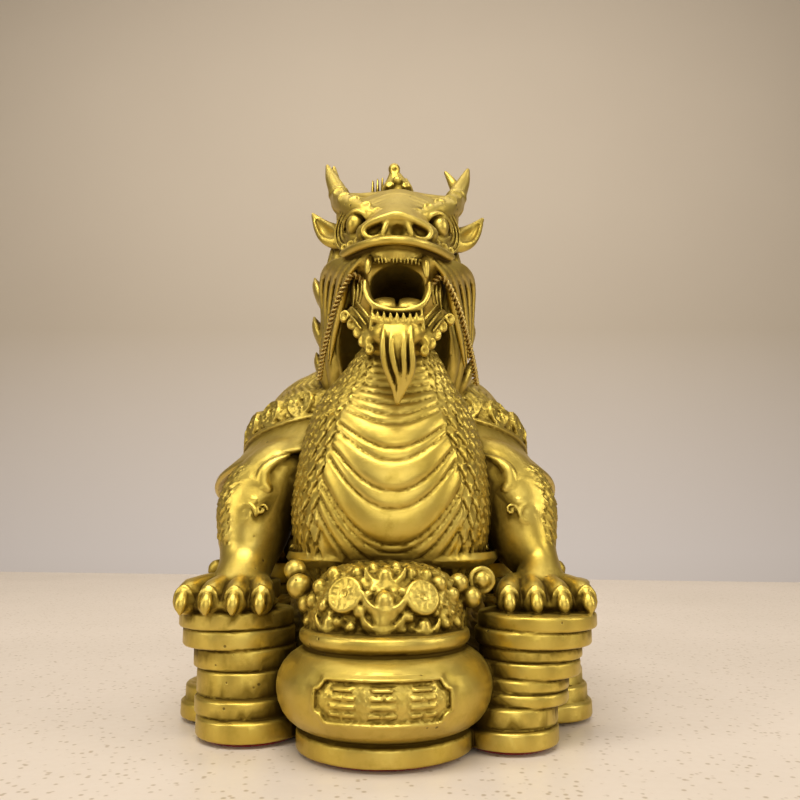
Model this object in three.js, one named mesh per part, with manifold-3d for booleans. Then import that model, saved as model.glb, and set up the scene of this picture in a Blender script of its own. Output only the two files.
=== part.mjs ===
// Dragon turtle figure, a brass casting on a thin felt pad. Millimetres, +Z up, the figure faces -Y.
// The origin is on the surface that the figure stands on, under the middle of the whole.
import * as THREE from 'three';
import { SimplifyModifier } from 'three/addons/modifiers/SimplifyModifier.js';
import { mergeVertices } from 'three/addons/utils/BufferGeometryUtils.js';
import Module from 'manifold-3d';

const wasm = await Module();
wasm.setup();

// Driving dimensions
const turtleHeight = 178.5; // from the top of the front coin stacks to the tips of the horns
const clearance = 0.3; // between touching pieces
const feltThickness = 1;
const feltInset = 1.2; // from the edge of the casting's foot to the edge of the felt
const coinThickness = 6.7; // each coin of the left front stack
const leftCoinCount = 6;
const rightCoinCount = 8;
const hindCoinCount = 6;
const stackCoinRadius = 20; // the widest coin of each stack
const stackSpacing = 107; // between the middles of the two front stacks
const leftStackY = -37;
const rightStackY = -46;
const hindStackY = 44;
const hindStackRise = 9; // how far the hind stacks stand above the front ones
const bowlRadius = 35; // at the belly
const bowlRimRadius = 28;
const bowlFootRadius = 28.5;
const bowlHeight = 36.5;
const bowlFootHeight = 6.5;
const bowlY = -58;
const plaqueWidth = 42;
const plaqueHeight = 13;
const plaqueDepth = 0.9;
const heapCoinRadius = 5.8;
const heapCoinThickness = 2.2;
const flankCoinRadius = 17;
const flankCoinThickness = 5.7;
const ingotLength = 15;
const pearlRadius = 2.7;
const whiskerDiameter = 2.4;
const foldCount = 9; // folds of the breastplate, from the belly to the neck
const foldRings = 3; // rows of facets on each fold
const headFacets = 3100; // triangles kept on the head and mane
const bodyFacets = 2800; // triangles kept on the shell, legs and tail
const treasureFacets = 1900; // triangles kept on the treasure and the hind stacks
const castingFacets = 9200; // triangles kept on the whole casting
const sheetGap = 0.05; // how far corners that would touch are drawn back

// Sizes that follow from them
const baseHeight = feltThickness + clearance;
const stackHeight = leftCoinCount * coinThickness;
const stackTop = baseHeight + stackHeight;
const bowlTop = baseHeight + bowlHeight;
const halfSpacing = stackSpacing / 2;
const share = turtleHeight / 178.5;
const headShift = 4; // the head looks out a little to one side of the shell's middle

const X = new THREE.Vector3(1, 0, 0);
const Y = new THREE.Vector3(0, 1, 0);
const Z = new THREE.Vector3(0, 0, 1);
const bothSides = [-1, 1];

// A point of the turtle itself, whose height is counted from the top of the front coin stacks
function at(x, y, z) {
  return new THREE.Vector3(x * share, y * share, stackTop + z * share);
}

function headAt(x, y, z) {
  return at(headShift + x, y, z);
}

function station(point, wide, deep) {
  return { point, wide: wide * share, deep: deep * share };
}

// A closed three.js geometry as a solid that can be joined and cut
function solid(geometry) {
  const bare = geometry.clone();
  bare.deleteAttribute('normal');
  bare.deleteAttribute('uv');
  const merged = mergeVertices(bare, 1e-3);
  return new wasm.Manifold(
    new wasm.Mesh({
      numProp: 3,
      vertProperties: Float32Array.from(merged.attributes.position.array),
      triVerts: Uint32Array.from(merged.index.array),
    })
  );
}

function joined(solids) {
  return solids.reduce((whole, next) => whole.add(next));
}

function geometryOf(manifold) {
  const mesh = manifold.getMesh();
  const geometry = new THREE.BufferGeometry();
  geometry.setAttribute('position', new THREE.Float32BufferAttribute(mesh.vertProperties, mesh.numProp));
  geometry.setIndex(new THREE.Uint32BufferAttribute(mesh.triVerts, 1));
  return geometry;
}

// The same form with about the given number of triangles, fewest where it is flattest
async function thinned(manifold, facets) {
  const geometry = geometryOf(manifold);
  const spare = geometry.attributes.position.count - facets / 2;
  return solid(spare > 0 ? await new SimplifyModifier().modify(geometry, Math.round(spare)) : geometry);
}

// Where two sheets of the surface meet at one point, each is drawn back a little so that they don't touch
function parted(manifold) {
  const geometry = geometryOf(manifold);
  const position = geometry.attributes.position;
  const cornerAt = (i) => new THREE.Vector3().fromBufferAttribute(position, i);
  const places = new Map();
  for (let i = 0; i < position.count; i += 1) {
    const place = cornerAt(i).toArray().map((value) => value.toFixed(3)).join();
    places.set(place, [...(places.get(place) ?? []), i]);
  }
  const shared = [...places.values()].filter((corners) => corners.length > 1).flat();
  const pulls = new Map(shared.map((i) => [i, new THREE.Vector3()]));
  const corners = geometry.index.array;
  for (let i = 0; i < corners.length; i += 3) {
    const triangle = [...corners.slice(i, i + 3)];
    for (const corner of triangle.filter((each) => pulls.has(each))) {
      triangle.forEach((other) => pulls.get(corner).add(cornerAt(other).sub(cornerAt(corner))));
    }
  }
  for (const [i, pull] of pulls) {
    const moved = cornerAt(i).addScaledVector(pull.normalize(), sheetGap);
    position.setXYZ(i, moved.x, moved.y, moved.z);
  }
  return geometry;
}

// An ellipsoid, its poles up and down, of half-sizes in the turtle's own scale
function ball(centre, radii, around = 12, down = 8) {
  const geometry = new THREE.SphereGeometry(share, around, down);
  geometry.rotateX(Math.PI / 2);
  geometry.scale(...radii);
  geometry.translate(centre.x, centre.y, centre.z);
  return solid(geometry);
}

function knob(centre, radius, around = 8, down = 6) {
  const geometry = new THREE.SphereGeometry(radius, around, down);
  geometry.rotateX(Math.PI / 2);
  geometry.translate(centre.x, centre.y, centre.z);
  return solid(geometry);
}

// A tapering closed form along a smooth curve through stations of a point, a half-width and a half-depth
function limb(stations, { sides = 10, steps = 8, across = X, relief = null, sag = null } = {}) {
  const path = new THREE.CatmullRomCurve3(stations.map((each) => each.point));
  const girth = new THREE.CatmullRomCurve3(
    stations.map((each) => new THREE.Vector3(each.wide, each.deep, 0))
  );
  const geometry = new THREE.CylinderGeometry(1, 1, 1, sides, steps);
  const position = geometry.attributes.position;
  const vertex = new THREE.Vector3();
  for (let i = 0; i < position.count; i += 1) {
    vertex.fromBufferAttribute(position, i);
    const level = vertex.y + 0.5;
    const along = THREE.MathUtils.clamp(sag ? level - sag(level, vertex.x, vertex.z) : level, 0, 1);
    const tangent = path.getTangent(along);
    const front = across.clone().cross(tangent).normalize();
    const side = tangent.clone().cross(front);
    const size = girth.getPoint(along);
    const proud = relief ? 1 + relief(level, vertex.z) : 1;
    const point = path.getPoint(along);
    point.addScaledVector(side, vertex.x * size.x * proud);
    point.addScaledVector(front, vertex.z * size.y * proud);
    position.setXYZ(i, point.x, point.y, point.z);
  }
  return solid(geometry);
}

// A turned form about an upright axis through the given point; the profile is pairs of radius and height
function turned(profile, centre, segments = 24, scaleY = 1) {
  const geometry = new THREE.LatheGeometry(
    profile.map(([radius, height]) => new THREE.Vector2(radius, height)),
    segments
  );
  geometry.rotateX(Math.PI / 2);
  geometry.scale(1, scaleY, 1);
  geometry.translate(centre.x, centre.y, centre.z);
  return solid(geometry);
}

// A flat disc standing on the given point
function disc(centre, radius, thickness, segments = 20) {
  const geometry = new THREE.CylinderGeometry(radius, radius, thickness, segments);
  geometry.rotateX(Math.PI / 2);
  geometry.translate(centre.x, centre.y, centre.z + thickness / 2);
  return solid(geometry);
}

// Turns a geometry so that its +Z looks along `facing`, and puts it at a point
function aimed(geometry, facing, point) {
  geometry.applyQuaternion(new THREE.Quaternion().setFromUnitVectors(Z, facing.clone().normalize()));
  geometry.translate(point.x, point.y, point.z);
  return solid(geometry);
}

// A pointed cone from the middle of its foot to its tip
function spike(foot, tip, radius, sides = 6) {
  const along = tip.clone().sub(foot);
  const geometry = new THREE.CylinderGeometry(radius * 0.12 * share, radius * share, along.length(), sides);
  geometry.rotateX(Math.PI / 2);
  return aimed(geometry, along, foot.clone().addScaledVector(along, 0.5));
}

// From the crown forward and down to the tip of the muzzle
function skull() {
  const stations = [
    station(headAt(0, -5, 152), 12, 9),
    station(headAt(0, -14, 151), 21, 14),
    station(headAt(0, -29, 148.5), 23.5, 13),
    station(headAt(0, -42, 140), 18, 11),
    station(headAt(0, -54, 134), 13, 8.5),
    station(headAt(0, -65, 131.5), 8, 5),
  ];
  return limb(stations, { sides: 16, steps: 12 });
}

function forehead() {
  return ball(headAt(0, -29, 152), [9.5, 12, 10.5]);
}

function cheeks() {
  const stations = [
    station(headAt(0, -14, 118), 14, 16),
    station(headAt(0, -28, 116), 18.5, 20),
    station(headAt(0, -42, 114), 17.5, 18),
    station(headAt(0, -54, 116), 13, 9),
  ];
  return limb(stations, { sides: 14, steps: 6 });
}

function nostrils() {
  const wings = bothSides.map((side) => ball(headAt(9 * side, -59.5, 132.5), [5.4, 6, 5.4], 10, 6));
  return [...wings, ball(headAt(0, -58, 136), [7.5, 7, 5.2], 10, 6)];
}

function nostrilHoles() {
  return bothSides.map((side) => knob(headAt(9.5 * side, -65.5, 132), 2.9 * share, 7, 5));
}

// The flared upper lip, a plate swept from one corner of the mouth round the front to the other
function lipPlate() {
  const stations = [
    station(headAt(-22, -44, 125), 2, 1),
    station(headAt(-17, -56, 126), 5, 1.6),
    station(headAt(-9, -65, 126.4), 6.5, 1.8),
    station(headAt(0, -67.5, 127), 7, 1.8),
    station(headAt(9, -65, 126.4), 6.5, 1.8),
    station(headAt(17, -56, 126), 5, 1.6),
    station(headAt(22, -44, 125), 2, 1),
  ];
  return limb(stations, { sides: 6, steps: 16, across: Y });
}

function upperGum() {
  return ball(headAt(0, -53, 123), [13.5, 13.5, 5], 14, 6);
}

function upperTeeth() {
  const teeth = [-3, -1, 1, 3].map((place) =>
    spike(headAt(place * 2, -64, 123), headAt(place * 2, -65, 116.5), 1.7, 5)
  );
  const fangs = bothSides.map((side) =>
    spike(headAt(10.5 * side, -58.5, 123.5), headAt(10.8 * side, -61, 113), 2.8)
  );
  return [...teeth, ...fangs];
}

function mouthHollow() {
  const stations = [
    station(headAt(0, -84, 109), 12, 11),
    station(headAt(0, -62, 110), 11.5, 10.5),
    station(headAt(0, -48, 111), 10.5, 9),
    station(headAt(0, -36, 111), 8, 6.5),
    station(headAt(0, -30, 111), 4, 3),
  ];
  return limb(stations, { sides: 14, steps: 6 });
}

function tongue() {
  const stations = [
    station(headAt(0, -32, 101), 5, 3),
    station(headAt(0, -44, 103.5), 8, 5),
    station(headAt(0, -54, 102), 8.5, 5),
    station(headAt(0, -60.5, 99.5), 6, 3.4),
  ];
  return limb(stations, { sides: 10, steps: 5 });
}

function lowerJaw() {
  const stations = [
    station(headAt(0, -26, 98), 11, 6),
    station(headAt(0, -42, 96), 14, 7),
    station(headAt(0, -56, 94), 12.8, 8.2),
    station(headAt(0, -66, 94.5), 8, 5),
  ];
  return limb(stations, { sides: 12, steps: 6 });
}

function lowerTeeth() {
  const teeth = [-2, 0, 2].map((place) =>
    spike(headAt(place * 2, -63.5, 97), headAt(place * 2, -64.5, 103), 1.7, 5)
  );
  const fangs = bothSides.map((side) =>
    spike(headAt(8.6 * side, -60.5, 97), headAt(9 * side, -62, 106.5), 2.2)
  );
  return [...teeth, ...fangs];
}

// The curled flaps beside the lower jaw, edged with knobs
function jawFlaps() {
  return bothSides.flatMap((side) => [
    limb(
      [
        station(headAt(10 * side, -57, 97), 1.8, 4),
        station(headAt(15 * side, -51, 100), 1.8, 6),
        station(headAt(19.5 * side, -43, 103), 1.5, 4),
      ],
      { sides: 7, steps: 4 }
    ),
    knob(headAt(18.6 * side, -45, 99), 2.6 * share, 6, 5),
    knob(headAt(15 * side, -51.5, 94.5), 2.7 * share, 6, 5),
    knob(headAt(11 * side, -56, 89.5), 3 * share, 6, 5),
  ]);
}

function goatee() {
  return [-1.5, -0.5, 0.5, 1.5].map((place) => {
    const out = place * 2.7;
    return limb(
      [
        station(headAt(out * 0.7, -62, 96), 2, 2),
        station(headAt(out * 1.3, -65.5, 84 - Math.abs(place)), 2.2, 2),
        station(headAt(out * 0.7, -62, 76 + Math.abs(place)), 1.7, 1.6),
        station(headAt(out * 0.1, -59, 69.5 + 3 * Math.abs(place)), 0.5, 0.5),
      ],
      { sides: 7, steps: 7 }
    );
  });
}

// Each eye with the ring of its lid
function eyes() {
  return bothSides.flatMap((side) => {
    const centre = headAt(15.6 * side, -44, 139.5);
    const lid = new THREE.TorusGeometry(4 * share, 1.2 * share, 6, 12);
    const facing = new THREE.Vector3(0.35 * side, -1, 0);
    const socket = ball(headAt(14.5 * side, -38.5, 139.5), [7.5, 7, 7], 10, 7);
    return [socket, knob(centre, 3.4 * share), aimed(lid, facing, centre)];
  });
}

// A ridge of curled knots over each eye, rising into the root of the horn
function brows() {
  return bothSides.flatMap((side) => {
    const ridge = limb(
      [
        station(headAt(5 * side, -49, 141.5), 2.4, 2.4),
        station(headAt(11 * side, -46, 146.5), 3.6, 3.6),
        station(headAt(18 * side, -40, 151), 4.2, 4.6),
        station(headAt(23.5 * side, -30, 157), 4, 5),
        station(headAt(25 * side, -18, 163), 4, 4.5),
      ],
      { sides: 8, steps: 8 }
    );
    const knots = [0, 1, 2, 3].map((place) =>
      knob(headAt((9.5 + 5 * place) * side, -49 + 2.7 * place, 147 + 2.4 * place), 2.7 * share, 7, 5)
    );
    return [ridge, ...knots];
  });
}

function horns() {
  return bothSides.flatMap((side) => [
    limb(
      [
        station(headAt(25 * side, -21, 158), 4.4, 4.8),
        station(headAt(26.5 * side, -15, 166), 3.6, 3.6),
        station(headAt(29.5 * side, -12, 173), 2.4, 2.4),
        station(headAt(31.5 * side, -10.5, 178), 0.6, 0.6),
      ],
      { sides: 8, steps: 7 }
    ),
    spike(headAt(26 * side, -13, 165), headAt(23.5 * side, -8, 175.5), 2.3),
  ]);
}

// Pointed ears with a hollow in front
function ears() {
  return bothSides.map((side) => {
    const leaf = limb(
      [
        station(headAt(19 * side, -24, 138), 2, 4),
        station(headAt(26.5 * side, -20, 142.5), 2.2, 6.6),
        station(headAt(31.5 * side, -16, 149), 1.8, 4.2),
        station(headAt(35 * side, -13.5, 156), 0.5, 0.7),
      ],
      { sides: 8, steps: 7, across: Y }
    );
    const lobe = spike(headAt(24 * side, -19, 138), headAt(31.5 * side, -17, 140.5), 3);
    const hollow = ball(headAt(27.5 * side, -23.5, 145), [2.6, 3, 3.6], 8, 6);
    return leaf.add(lobe).subtract(hollow);
  });
}

function crest() {
  const fins = [0, 1, 2].map((place) =>
    spike(headAt(-6 - 2.8 * place, -11, 157), headAt(-8 - 3.4 * place, -7, 171 - 2.6 * place), 2.6, 5)
  );
  return [
    ball(headAt(0, -12, 164), [9.5, 8, 8], 10, 8),
    ball(headAt(-1, -12.5, 171), [5.5, 5, 7.4], 8, 7),
    ...fins,
  ];
}

function head() {
  const upper = [skull(), forehead(), cheeks(), ...nostrils(), ...eyes(), ...brows(), lipPlate(), upperGum()];
  const lower = [lowerJaw(), ...jawFlaps()];
  const open = joined([...upper, ...lower]).subtract(joined([mouthHollow(), ...nostrilHoles()]));
  const set = [...upperTeeth(), ...lowerTeeth(), tongue(), ...goatee(), ...horns(), ...ears(), ...crest()];
  return open.add(joined(set));
}

// The hood of the mane, open in front of the neck
function maneHood() {
  const hood = limb(
    [
      station(headAt(0, -15, 157), 18, 12),
      station(headAt(0, -14, 142), 25.5, 18),
      station(headAt(0, -12, 128), 30, 21),
      station(headAt(0, -9, 112), 31.5, 23),
      station(headAt(-1, -5, 98), 31, 24),
      station(headAt(-2, 2, 84), 29, 23),
      station(headAt(-2, 9, 74), 28, 18),
    ],
    { sides: 20, steps: 12 }
  );
  const hollow = limb(
    [
      station(headAt(0, -38, 62), 22, 22),
      station(headAt(0, -35, 80), 25.5, 24),
      station(headAt(0, -35, 96), 25.5, 23),
      station(headAt(0, -38, 108), 20, 18),
      station(headAt(0, -42, 114), 10, 9),
    ],
    { sides: 14, steps: 8 }
  );
  return hood.subtract(hollow);
}

// Flame-shaped locks along the edges of the mane and down its back
function maneLocks() {
  const edge = bothSides.flatMap((side) =>
    [0, 1, 2].map((row) => {
      const height = 134 - 15 * row;
      return limb(
        [
          station(headAt(24 * side, -11 + 3 * row, height - 8), 3, 5),
          station(headAt(31.5 * side, -7 + 3 * row, height - 4), 2.6, 5),
          station(headAt(34.5 * side, -4 + 3 * row, height + 5), 0.5, 0.8),
        ],
        { sides: 6, steps: 5, across: Y }
      );
    })
  );
  const back = [0, 1, 2, 3].flatMap((row) =>
    [-1, 0, 1].map((place) =>
      limb(
        [
          station(headAt(11.5 * place, -4 + 4.6 * row, 150 - 16 * row), 6, 4),
          station(headAt(12.5 * place, 7 + 4.6 * row, 140 - 16 * row), 5.4, 3.6),
          station(headAt(13.5 * place, 13.5 + 4.4 * row, 128 - 16 * row), 0.8, 0.8),
        ],
        { sides: 6, steps: 5 }
      )
    )
  );
  return [...edge, ...back];
}

// Breastplate folds: each swells out above the groove that parts it from the one below
function foldRelief(level, z) {
  const ring = Math.round(level * foldCount * foldRings) % foldRings;
  const swell = [-0.07, 0.045, 0.035][ring];
  return swell * THREE.MathUtils.clamp(z * 1.6, 0, 1);
}

// The folds hang lower in their middle than at their sides
function foldSag(level, x, z) {
  const facing = THREE.MathUtils.clamp(z * 1.6, 0, 1);
  return 0.075 * facing * (1 - x * x) * Math.sin(Math.PI * level);
}

// Chest and neck in one
function chest() {
  const stations = [
    station(at(1.5, -21, 10), 25, 20),
    station(at(1.5, -22, 18), 33.5, 29),
    station(at(1.5, -23, 30), 37.5, 34),
    station(at(2, -23, 46), 36.5, 34),
    station(at(2, -23, 60), 33, 29.5),
    station(at(3, -26, 72), 26, 22),
    station(at(4, -30, 84), 18.5, 16.5),
    station(at(4, -33, 96), 15, 14.5),
    station(at(4, -34, 108), 15, 14),
  ];
  return limb(stations, { sides: 20, steps: foldCount * foldRings, relief: foldRelief, sag: foldSag });
}

// The rim of the breastplate, a shallow dish under the chest
function plastronRim() {
  const profile = [
    [0, 6],
    [24, 8],
    [38, 15.5],
    [38, 19],
    [24, 13],
    [0, 12],
  ].map(([radius, height]) => [radius * share, height * share]);
  return turned(profile, at(2, -19, 0), 24, 0.88);
}

// The shell is modelled level about its own middle and then tipped up at the front
const shellTip = THREE.MathUtils.degToRad(-17);
const shellMiddle = at(-1.5, 33, 57);
const domeRadii = [60, 50, 46].map((radius) => radius * share);
const shellSquash = domeRadii[1] / domeRadii[0];

function tipped(geometry) {
  geometry.rotateX(shellTip);
  geometry.translate(shellMiddle.x, shellMiddle.y, shellMiddle.z);
  return solid(geometry);
}

// Domed above, shallower below
function dome() {
  const geometry = new THREE.SphereGeometry(1, 28, 16);
  geometry.rotateX(Math.PI / 2);
  geometry.scale(...domeRadii);
  const position = geometry.attributes.position;
  for (let i = 0; i < position.count; i += 1) {
    position.setZ(i, position.getZ(i) * (position.getZ(i) < 0 ? 0.72 : 1));
  }
  return tipped(geometry);
}

function domePoint(x, y) {
  const [rx, ry, rz] = domeRadii;
  return new THREE.Vector3(x, y, rz * Math.sqrt(Math.max(0, 1 - (x / rx) ** 2 - (y / ry) ** 2)));
}

function domeNormal(point) {
  const [rx, ry, rz] = domeRadii;
  return new THREE.Vector3(point.x / rx ** 2, point.y / ry ** 2, point.z / rz ** 2).normalize();
}

// A low drum on the shell, looking out along `facing`
function raised(point, facing, radiusTop, radiusFoot, thickness, sides) {
  const geometry = new THREE.CylinderGeometry(
    radiusTop * share,
    radiusFoot * share,
    thickness * share,
    sides
  );
  geometry.rotateX(Math.PI / 2);
  geometry.applyQuaternion(new THREE.Quaternion().setFromUnitVectors(Z, facing));
  geometry.translate(point.x, point.y, point.z);
  return tipped(geometry);
}

// Raised six-sided plates, in a middle row and a row down each flank
function scutes() {
  return [-1, 0, 1].flatMap((column) => {
    const rows = column === 0 ? [-22, -2, 18, 36] : [-12, 8, 28];
    return rows.map((y) => {
      const point = domePoint(column * 27 * share, y * share);
      return raised(point, domeNormal(point), 8.5, 11.5, 5, 6);
    });
  });
}

function shellRing(profile) {
  const points = profile.map(([radius, height]) => new THREE.Vector2(radius * share, height * share));
  const geometry = new THREE.LatheGeometry([...points, points[0]], 36);
  geometry.rotateX(Math.PI / 2);
  geometry.scale(1, shellSquash, 1);
  return tipped(geometry);
}

function shellBorder() {
  return shellRing([
    [50, 0],
    [61, 0],
    [63.5, 5],
    [62.5, 11],
    [57, 16],
    [48, 16],
  ]);
}

function shellSkirt() {
  return shellRing([
    [48, -6],
    [60, -7],
    [69, -14.5],
    [73.5, -18],
    [75, -15.5],
    [67, -7],
    [61.5, 2],
    [50, 6],
  ]);
}

// A row of low coins round the border of the shell
function borderCoins() {
  const count = 16;
  return Array.from({ length: count }, (_, i) => {
    const angle = ((i + 0.5) * 2 * Math.PI) / count;
    const radius = 62.5 * share;
    const point = new THREE.Vector3(
      radius * Math.cos(angle),
      radius * Math.sin(angle) * shellSquash,
      8 * share
    );
    const facing = new THREE.Vector3(Math.cos(angle), Math.sin(angle) / shellSquash, 0.35).normalize();
    return raised(point, facing, 5.8, 5.8, 3.4, 12);
  });
}

// Four toes in a row, each with a claw
function toes(x, y, z) {
  return [-1.5, -0.5, 0.5, 1.5].flatMap((place) => {
    const spread = place * 8.7;
    const back = Math.abs(place) * 1.6;
    const toe = limb(
      [
        station(at(x + spread * 0.75, y + 12, z + 8), 4.4, 4.4),
        station(at(x + spread * 0.9, y + 2 + back, z + 10), 5, 4.8),
        station(at(x + spread, y - 6 + back, z + 8), 4.6, 5),
        station(at(x + spread * 1.02, y - 10 + back, z + 3.5), 3, 3),
      ],
      { sides: 8, steps: 5 }
    );
    const claw = spike(
      at(x + spread, y - 8 + back, z + 8.5),
      at(x + spread * 1.03, y - 13.5 + back, z + 0.8),
      2.7
    );
    return [toe, claw];
  });
}

// Flame-shaped fur along the outside of an elbow
function fur(x, y, z, side) {
  return [0, 1, 2, 3].map((row) =>
    limb(
      [
        station(at(x + side * (row - 1), y - 1, z + 14 - 7 * row), 3.4, 4.4),
        station(at(x + side * (3.6 + row * 0.4), y + 1, z + 9 - 7 * row), 2.6, 3.6),
        station(at(x + side * (5 + row * 0.2), y + 3, z + 1 - 7 * row), 0.5, 0.5),
      ],
      { sides: 6, steps: 4, across: Y }
    )
  );
}

function frontLeg(side) {
  const arm = limb(
    [
      station(at(34 * side, -6, 50), 10, 12),
      station(at(44 * side, -12, 46), 14, 14),
      station(at(51 * side, -16, 36), 16.5, 16),
      station(at(52 * side, -20, 24), 14, 14),
      station(at(52 * side, -26, 14), 10.5, 11),
      station(at(53 * side, -33, 6), 12, 11),
    ],
    { sides: 16, steps: 14 }
  );
  const scroll = limb(
    [
      station(at(41 * side, -27, 54), 3, 3),
      station(at(45 * side, -31, 46), 3.4, 3.4),
      station(at(53 * side, -31, 43), 3, 3),
      station(at(61 * side, -24, 40), 2.6, 2.6),
    ],
    { sides: 7, steps: 8 }
  );
  const curl = ball(at(56 * side, -30, 34), [5, 4, 5], 9, 6);
  const paw = ball(at(54 * side, -35, 5.5), [16, 12, 6]);
  return [arm, scroll, curl, paw, ...toes(54.5 * side, -43, 0), ...fur(61 * side, -14, 32, side)];
}

function hindLeg(side) {
  const rise = hindStackRise / share;
  const thigh = limb(
    [
      station(at(36 * side, 58, 42), 12, 12),
      station(at(47 * side, 54, 40), 16, 18),
      station(at(53 * side, 50, 30), 15, 18),
      station(at(54 * side, 52, rise + 12), 11, 13),
      station(at(54 * side, 50, rise + 5), 12, 12),
    ],
    { sides: 14, steps: 10 }
  );
  const paw = ball(at(54 * side, 44, rise + 5), [15, 12, 6]);
  return [thigh, paw, ...toes(54 * side, 37, rise), ...fur(61 * side, 54, rise + 16, side)];
}

function tail() {
  const stem = limb(
    [
      station(at(-2, 66, 38), 12, 11),
      station(at(-2, 78, 38), 9, 9),
      station(at(2, 84.5, 46), 6.5, 6.5),
      station(at(8, 84, 58), 5, 5),
      station(at(8, 79, 68), 3.4, 3.4),
      station(at(3, 78, 72), 1, 1),
    ],
    { sides: 9, steps: 12 }
  );
  const tuft = [0, 1, 2, 3].map((row) =>
    spike(at(5 + row, 83 - row, 49 + 6 * row), at(12 + row * 0.6, 88 - row, 58 + 6.5 * row), 3.4)
  );
  return [stem, ...tuft];
}

function bowl() {
  const side = bowlHeight - bowlFootHeight;
  const profile = [
    [0, 0],
    [bowlFootRadius, 0],
    [bowlFootRadius, bowlFootHeight - 1.2],
    [bowlFootRadius - 1.6, bowlFootHeight],
    [bowlRadius * 0.9, bowlFootHeight + side * 0.12],
    [bowlRadius * 0.975, bowlFootHeight + side * 0.27],
    [bowlRadius, bowlFootHeight + side * 0.43],
    [bowlRadius * 0.975, bowlFootHeight + side * 0.58],
    [bowlRadius * 0.89, bowlFootHeight + side * 0.71],
    [bowlRimRadius - 1.8, bowlHeight - 6],
    [bowlRimRadius - 0.2, bowlHeight - 4.4],
    [bowlRimRadius, bowlHeight - 1.4],
    [bowlRimRadius - 1.6, bowlHeight],
    [0, bowlHeight],
  ];
  return turned(profile, new THREE.Vector3(0, bowlY, baseHeight), 28);
}

// The sunk panel on the front of the bowl
function plaqueCut() {
  const middle = bowlFootHeight + (bowlHeight - bowlFootHeight) * 0.4;
  const half = plaqueWidth / 2;
  const tall = plaqueHeight / 2;
  const shoulder = half - tall * 0.6;
  const outline = new THREE.Shape();
  outline.moveTo(-shoulder, -tall);
  outline.lineTo(shoulder, -tall);
  outline.quadraticCurveTo(half + tall * 0.2, 0, shoulder, tall);
  outline.lineTo(-shoulder, tall);
  outline.quadraticCurveTo(-half - tall * 0.2, 0, -shoulder, -tall);
  const geometry = new THREE.ExtrudeGeometry(outline, {
    depth: bowlRadius + clearance,
    bevelEnabled: false,
    curveSegments: 5,
  });
  geometry.rotateX(Math.PI / 2);
  geometry.translate(0, bowlY, baseHeight + middle);
  const depth = bowlRadius - plaqueDepth;
  const floor = [
    [0, 0],
    [depth, 0],
    [depth, bowlHeight],
    [0, bowlHeight],
  ];
  return solid(geometry).subtract(turned(floor, new THREE.Vector3(0, bowlY, baseHeight), 40));
}

// The two top coins are the widest; the lower ones are smaller and step inwards
function stack({ x, y, count, height, inward, segments }) {
  const thickness = height / count;
  const coins = [];
  for (let i = 0; i < count; i += 1) {
    const depth = (count - 1 - i) / (count - 1);
    const reach = i >= count - 2 ? 1 : 0.86 - 0.05 * Math.sin(i * 2.1);
    const centre = new THREE.Vector3(
      x + inward * depth * stackCoinRadius * 0.4,
      y + Math.cos(i * 1.7) * 0.8,
      baseHeight + i * thickness
    );
    coins.push(disc(centre, stackCoinRadius * reach, thickness, segments));
  }
  return joined(coins);
}

function frontStacks() {
  return [
    stack({
      x: -halfSpacing,
      y: leftStackY,
      count: leftCoinCount,
      height: stackHeight,
      inward: 1,
      segments: 18,
    }),
    stack({
      x: halfSpacing,
      y: rightStackY,
      count: rightCoinCount,
      height: stackHeight,
      inward: -1,
      segments: 18,
    }),
  ];
}

function hindStacks() {
  const height = stackHeight + hindStackRise;
  return bothSides.map((side) =>
    stack({
      x: halfSpacing * side,
      y: hindStackY,
      count: hindCoinCount,
      height,
      inward: -side,
      segments: 14,
    })
  );
}

// A boat-shaped ingot with a domed middle, its length turned by an angle about the upright
function ingot(centre, length, angle = 0) {
  const half = length / 2;
  const hull = [
    [-1, 0.62, 0.04],
    [-0.7, 0.25, 0.3],
    [0, 0, 0.5],
    [0.7, 0.25, 0.3],
    [1, 0.62, 0.04],
  ].map(([along, up, girth]) => {
    const point = new THREE.Vector3(half * along, 0, half * up).applyAxisAngle(Z, angle).add(centre);
    return { point, wide: half * girth, deep: half * girth * 0.9 };
  });
  const across = Y.clone().applyAxisAngle(Z, angle);
  const crown = centre.clone().addScaledVector(Z, half * 0.3);
  return limb(hull, { sides: 6, steps: 6, across }).add(knob(crown, half * 0.42, 7, 5));
}

function heapCoin(centre, facing) {
  const geometry = new THREE.CylinderGeometry(heapCoinRadius, heapCoinRadius, 2 * heapCoinThickness, 14);
  geometry.rotateX(Math.PI / 2);
  return aimed(geometry, facing, centre);
}

// The core that everything else on the base is joined to
function heapCore() {
  const wide = halfSpacing - 2;
  const profile = [
    [0, baseHeight],
    [wide, baseHeight],
    [wide * 1.02, baseHeight + stackHeight * 0.3],
    [wide * 0.86, baseHeight + stackHeight * 0.75],
    [wide * 0.72, stackTop + 4 * share],
    [wide * 0.6, stackTop + 20 * share],
    [0, stackTop + 20 * share],
  ];
  return turned(profile, new THREE.Vector3(0, 8, 0), 20, 1.28);
}

// The mound of treasure that fills the bowl and meets the breastplate
const moundRadius = bowlRimRadius - 1.5;
const moundHeight = stackTop - bowlTop + 18 * share;
const moundSquash = 0.86;
const moundMiddle = new THREE.Vector3(0, bowlY + 3, bowlTop - 1);

function moundReach(up) {
  return moundRadius * Math.cbrt(Math.max(0, 1 - (up / moundHeight) ** 3));
}

function mound() {
  const rows = 6;
  const profile = Array.from({ length: rows + 1 }, (_, i) => {
    const up = moundHeight * Math.sin((i * Math.PI) / 2 / rows);
    return [i === rows ? 0 : moundReach(up), up];
  });
  return turned([[0, 0], ...profile], moundMiddle, 22, moundSquash);
}

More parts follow.
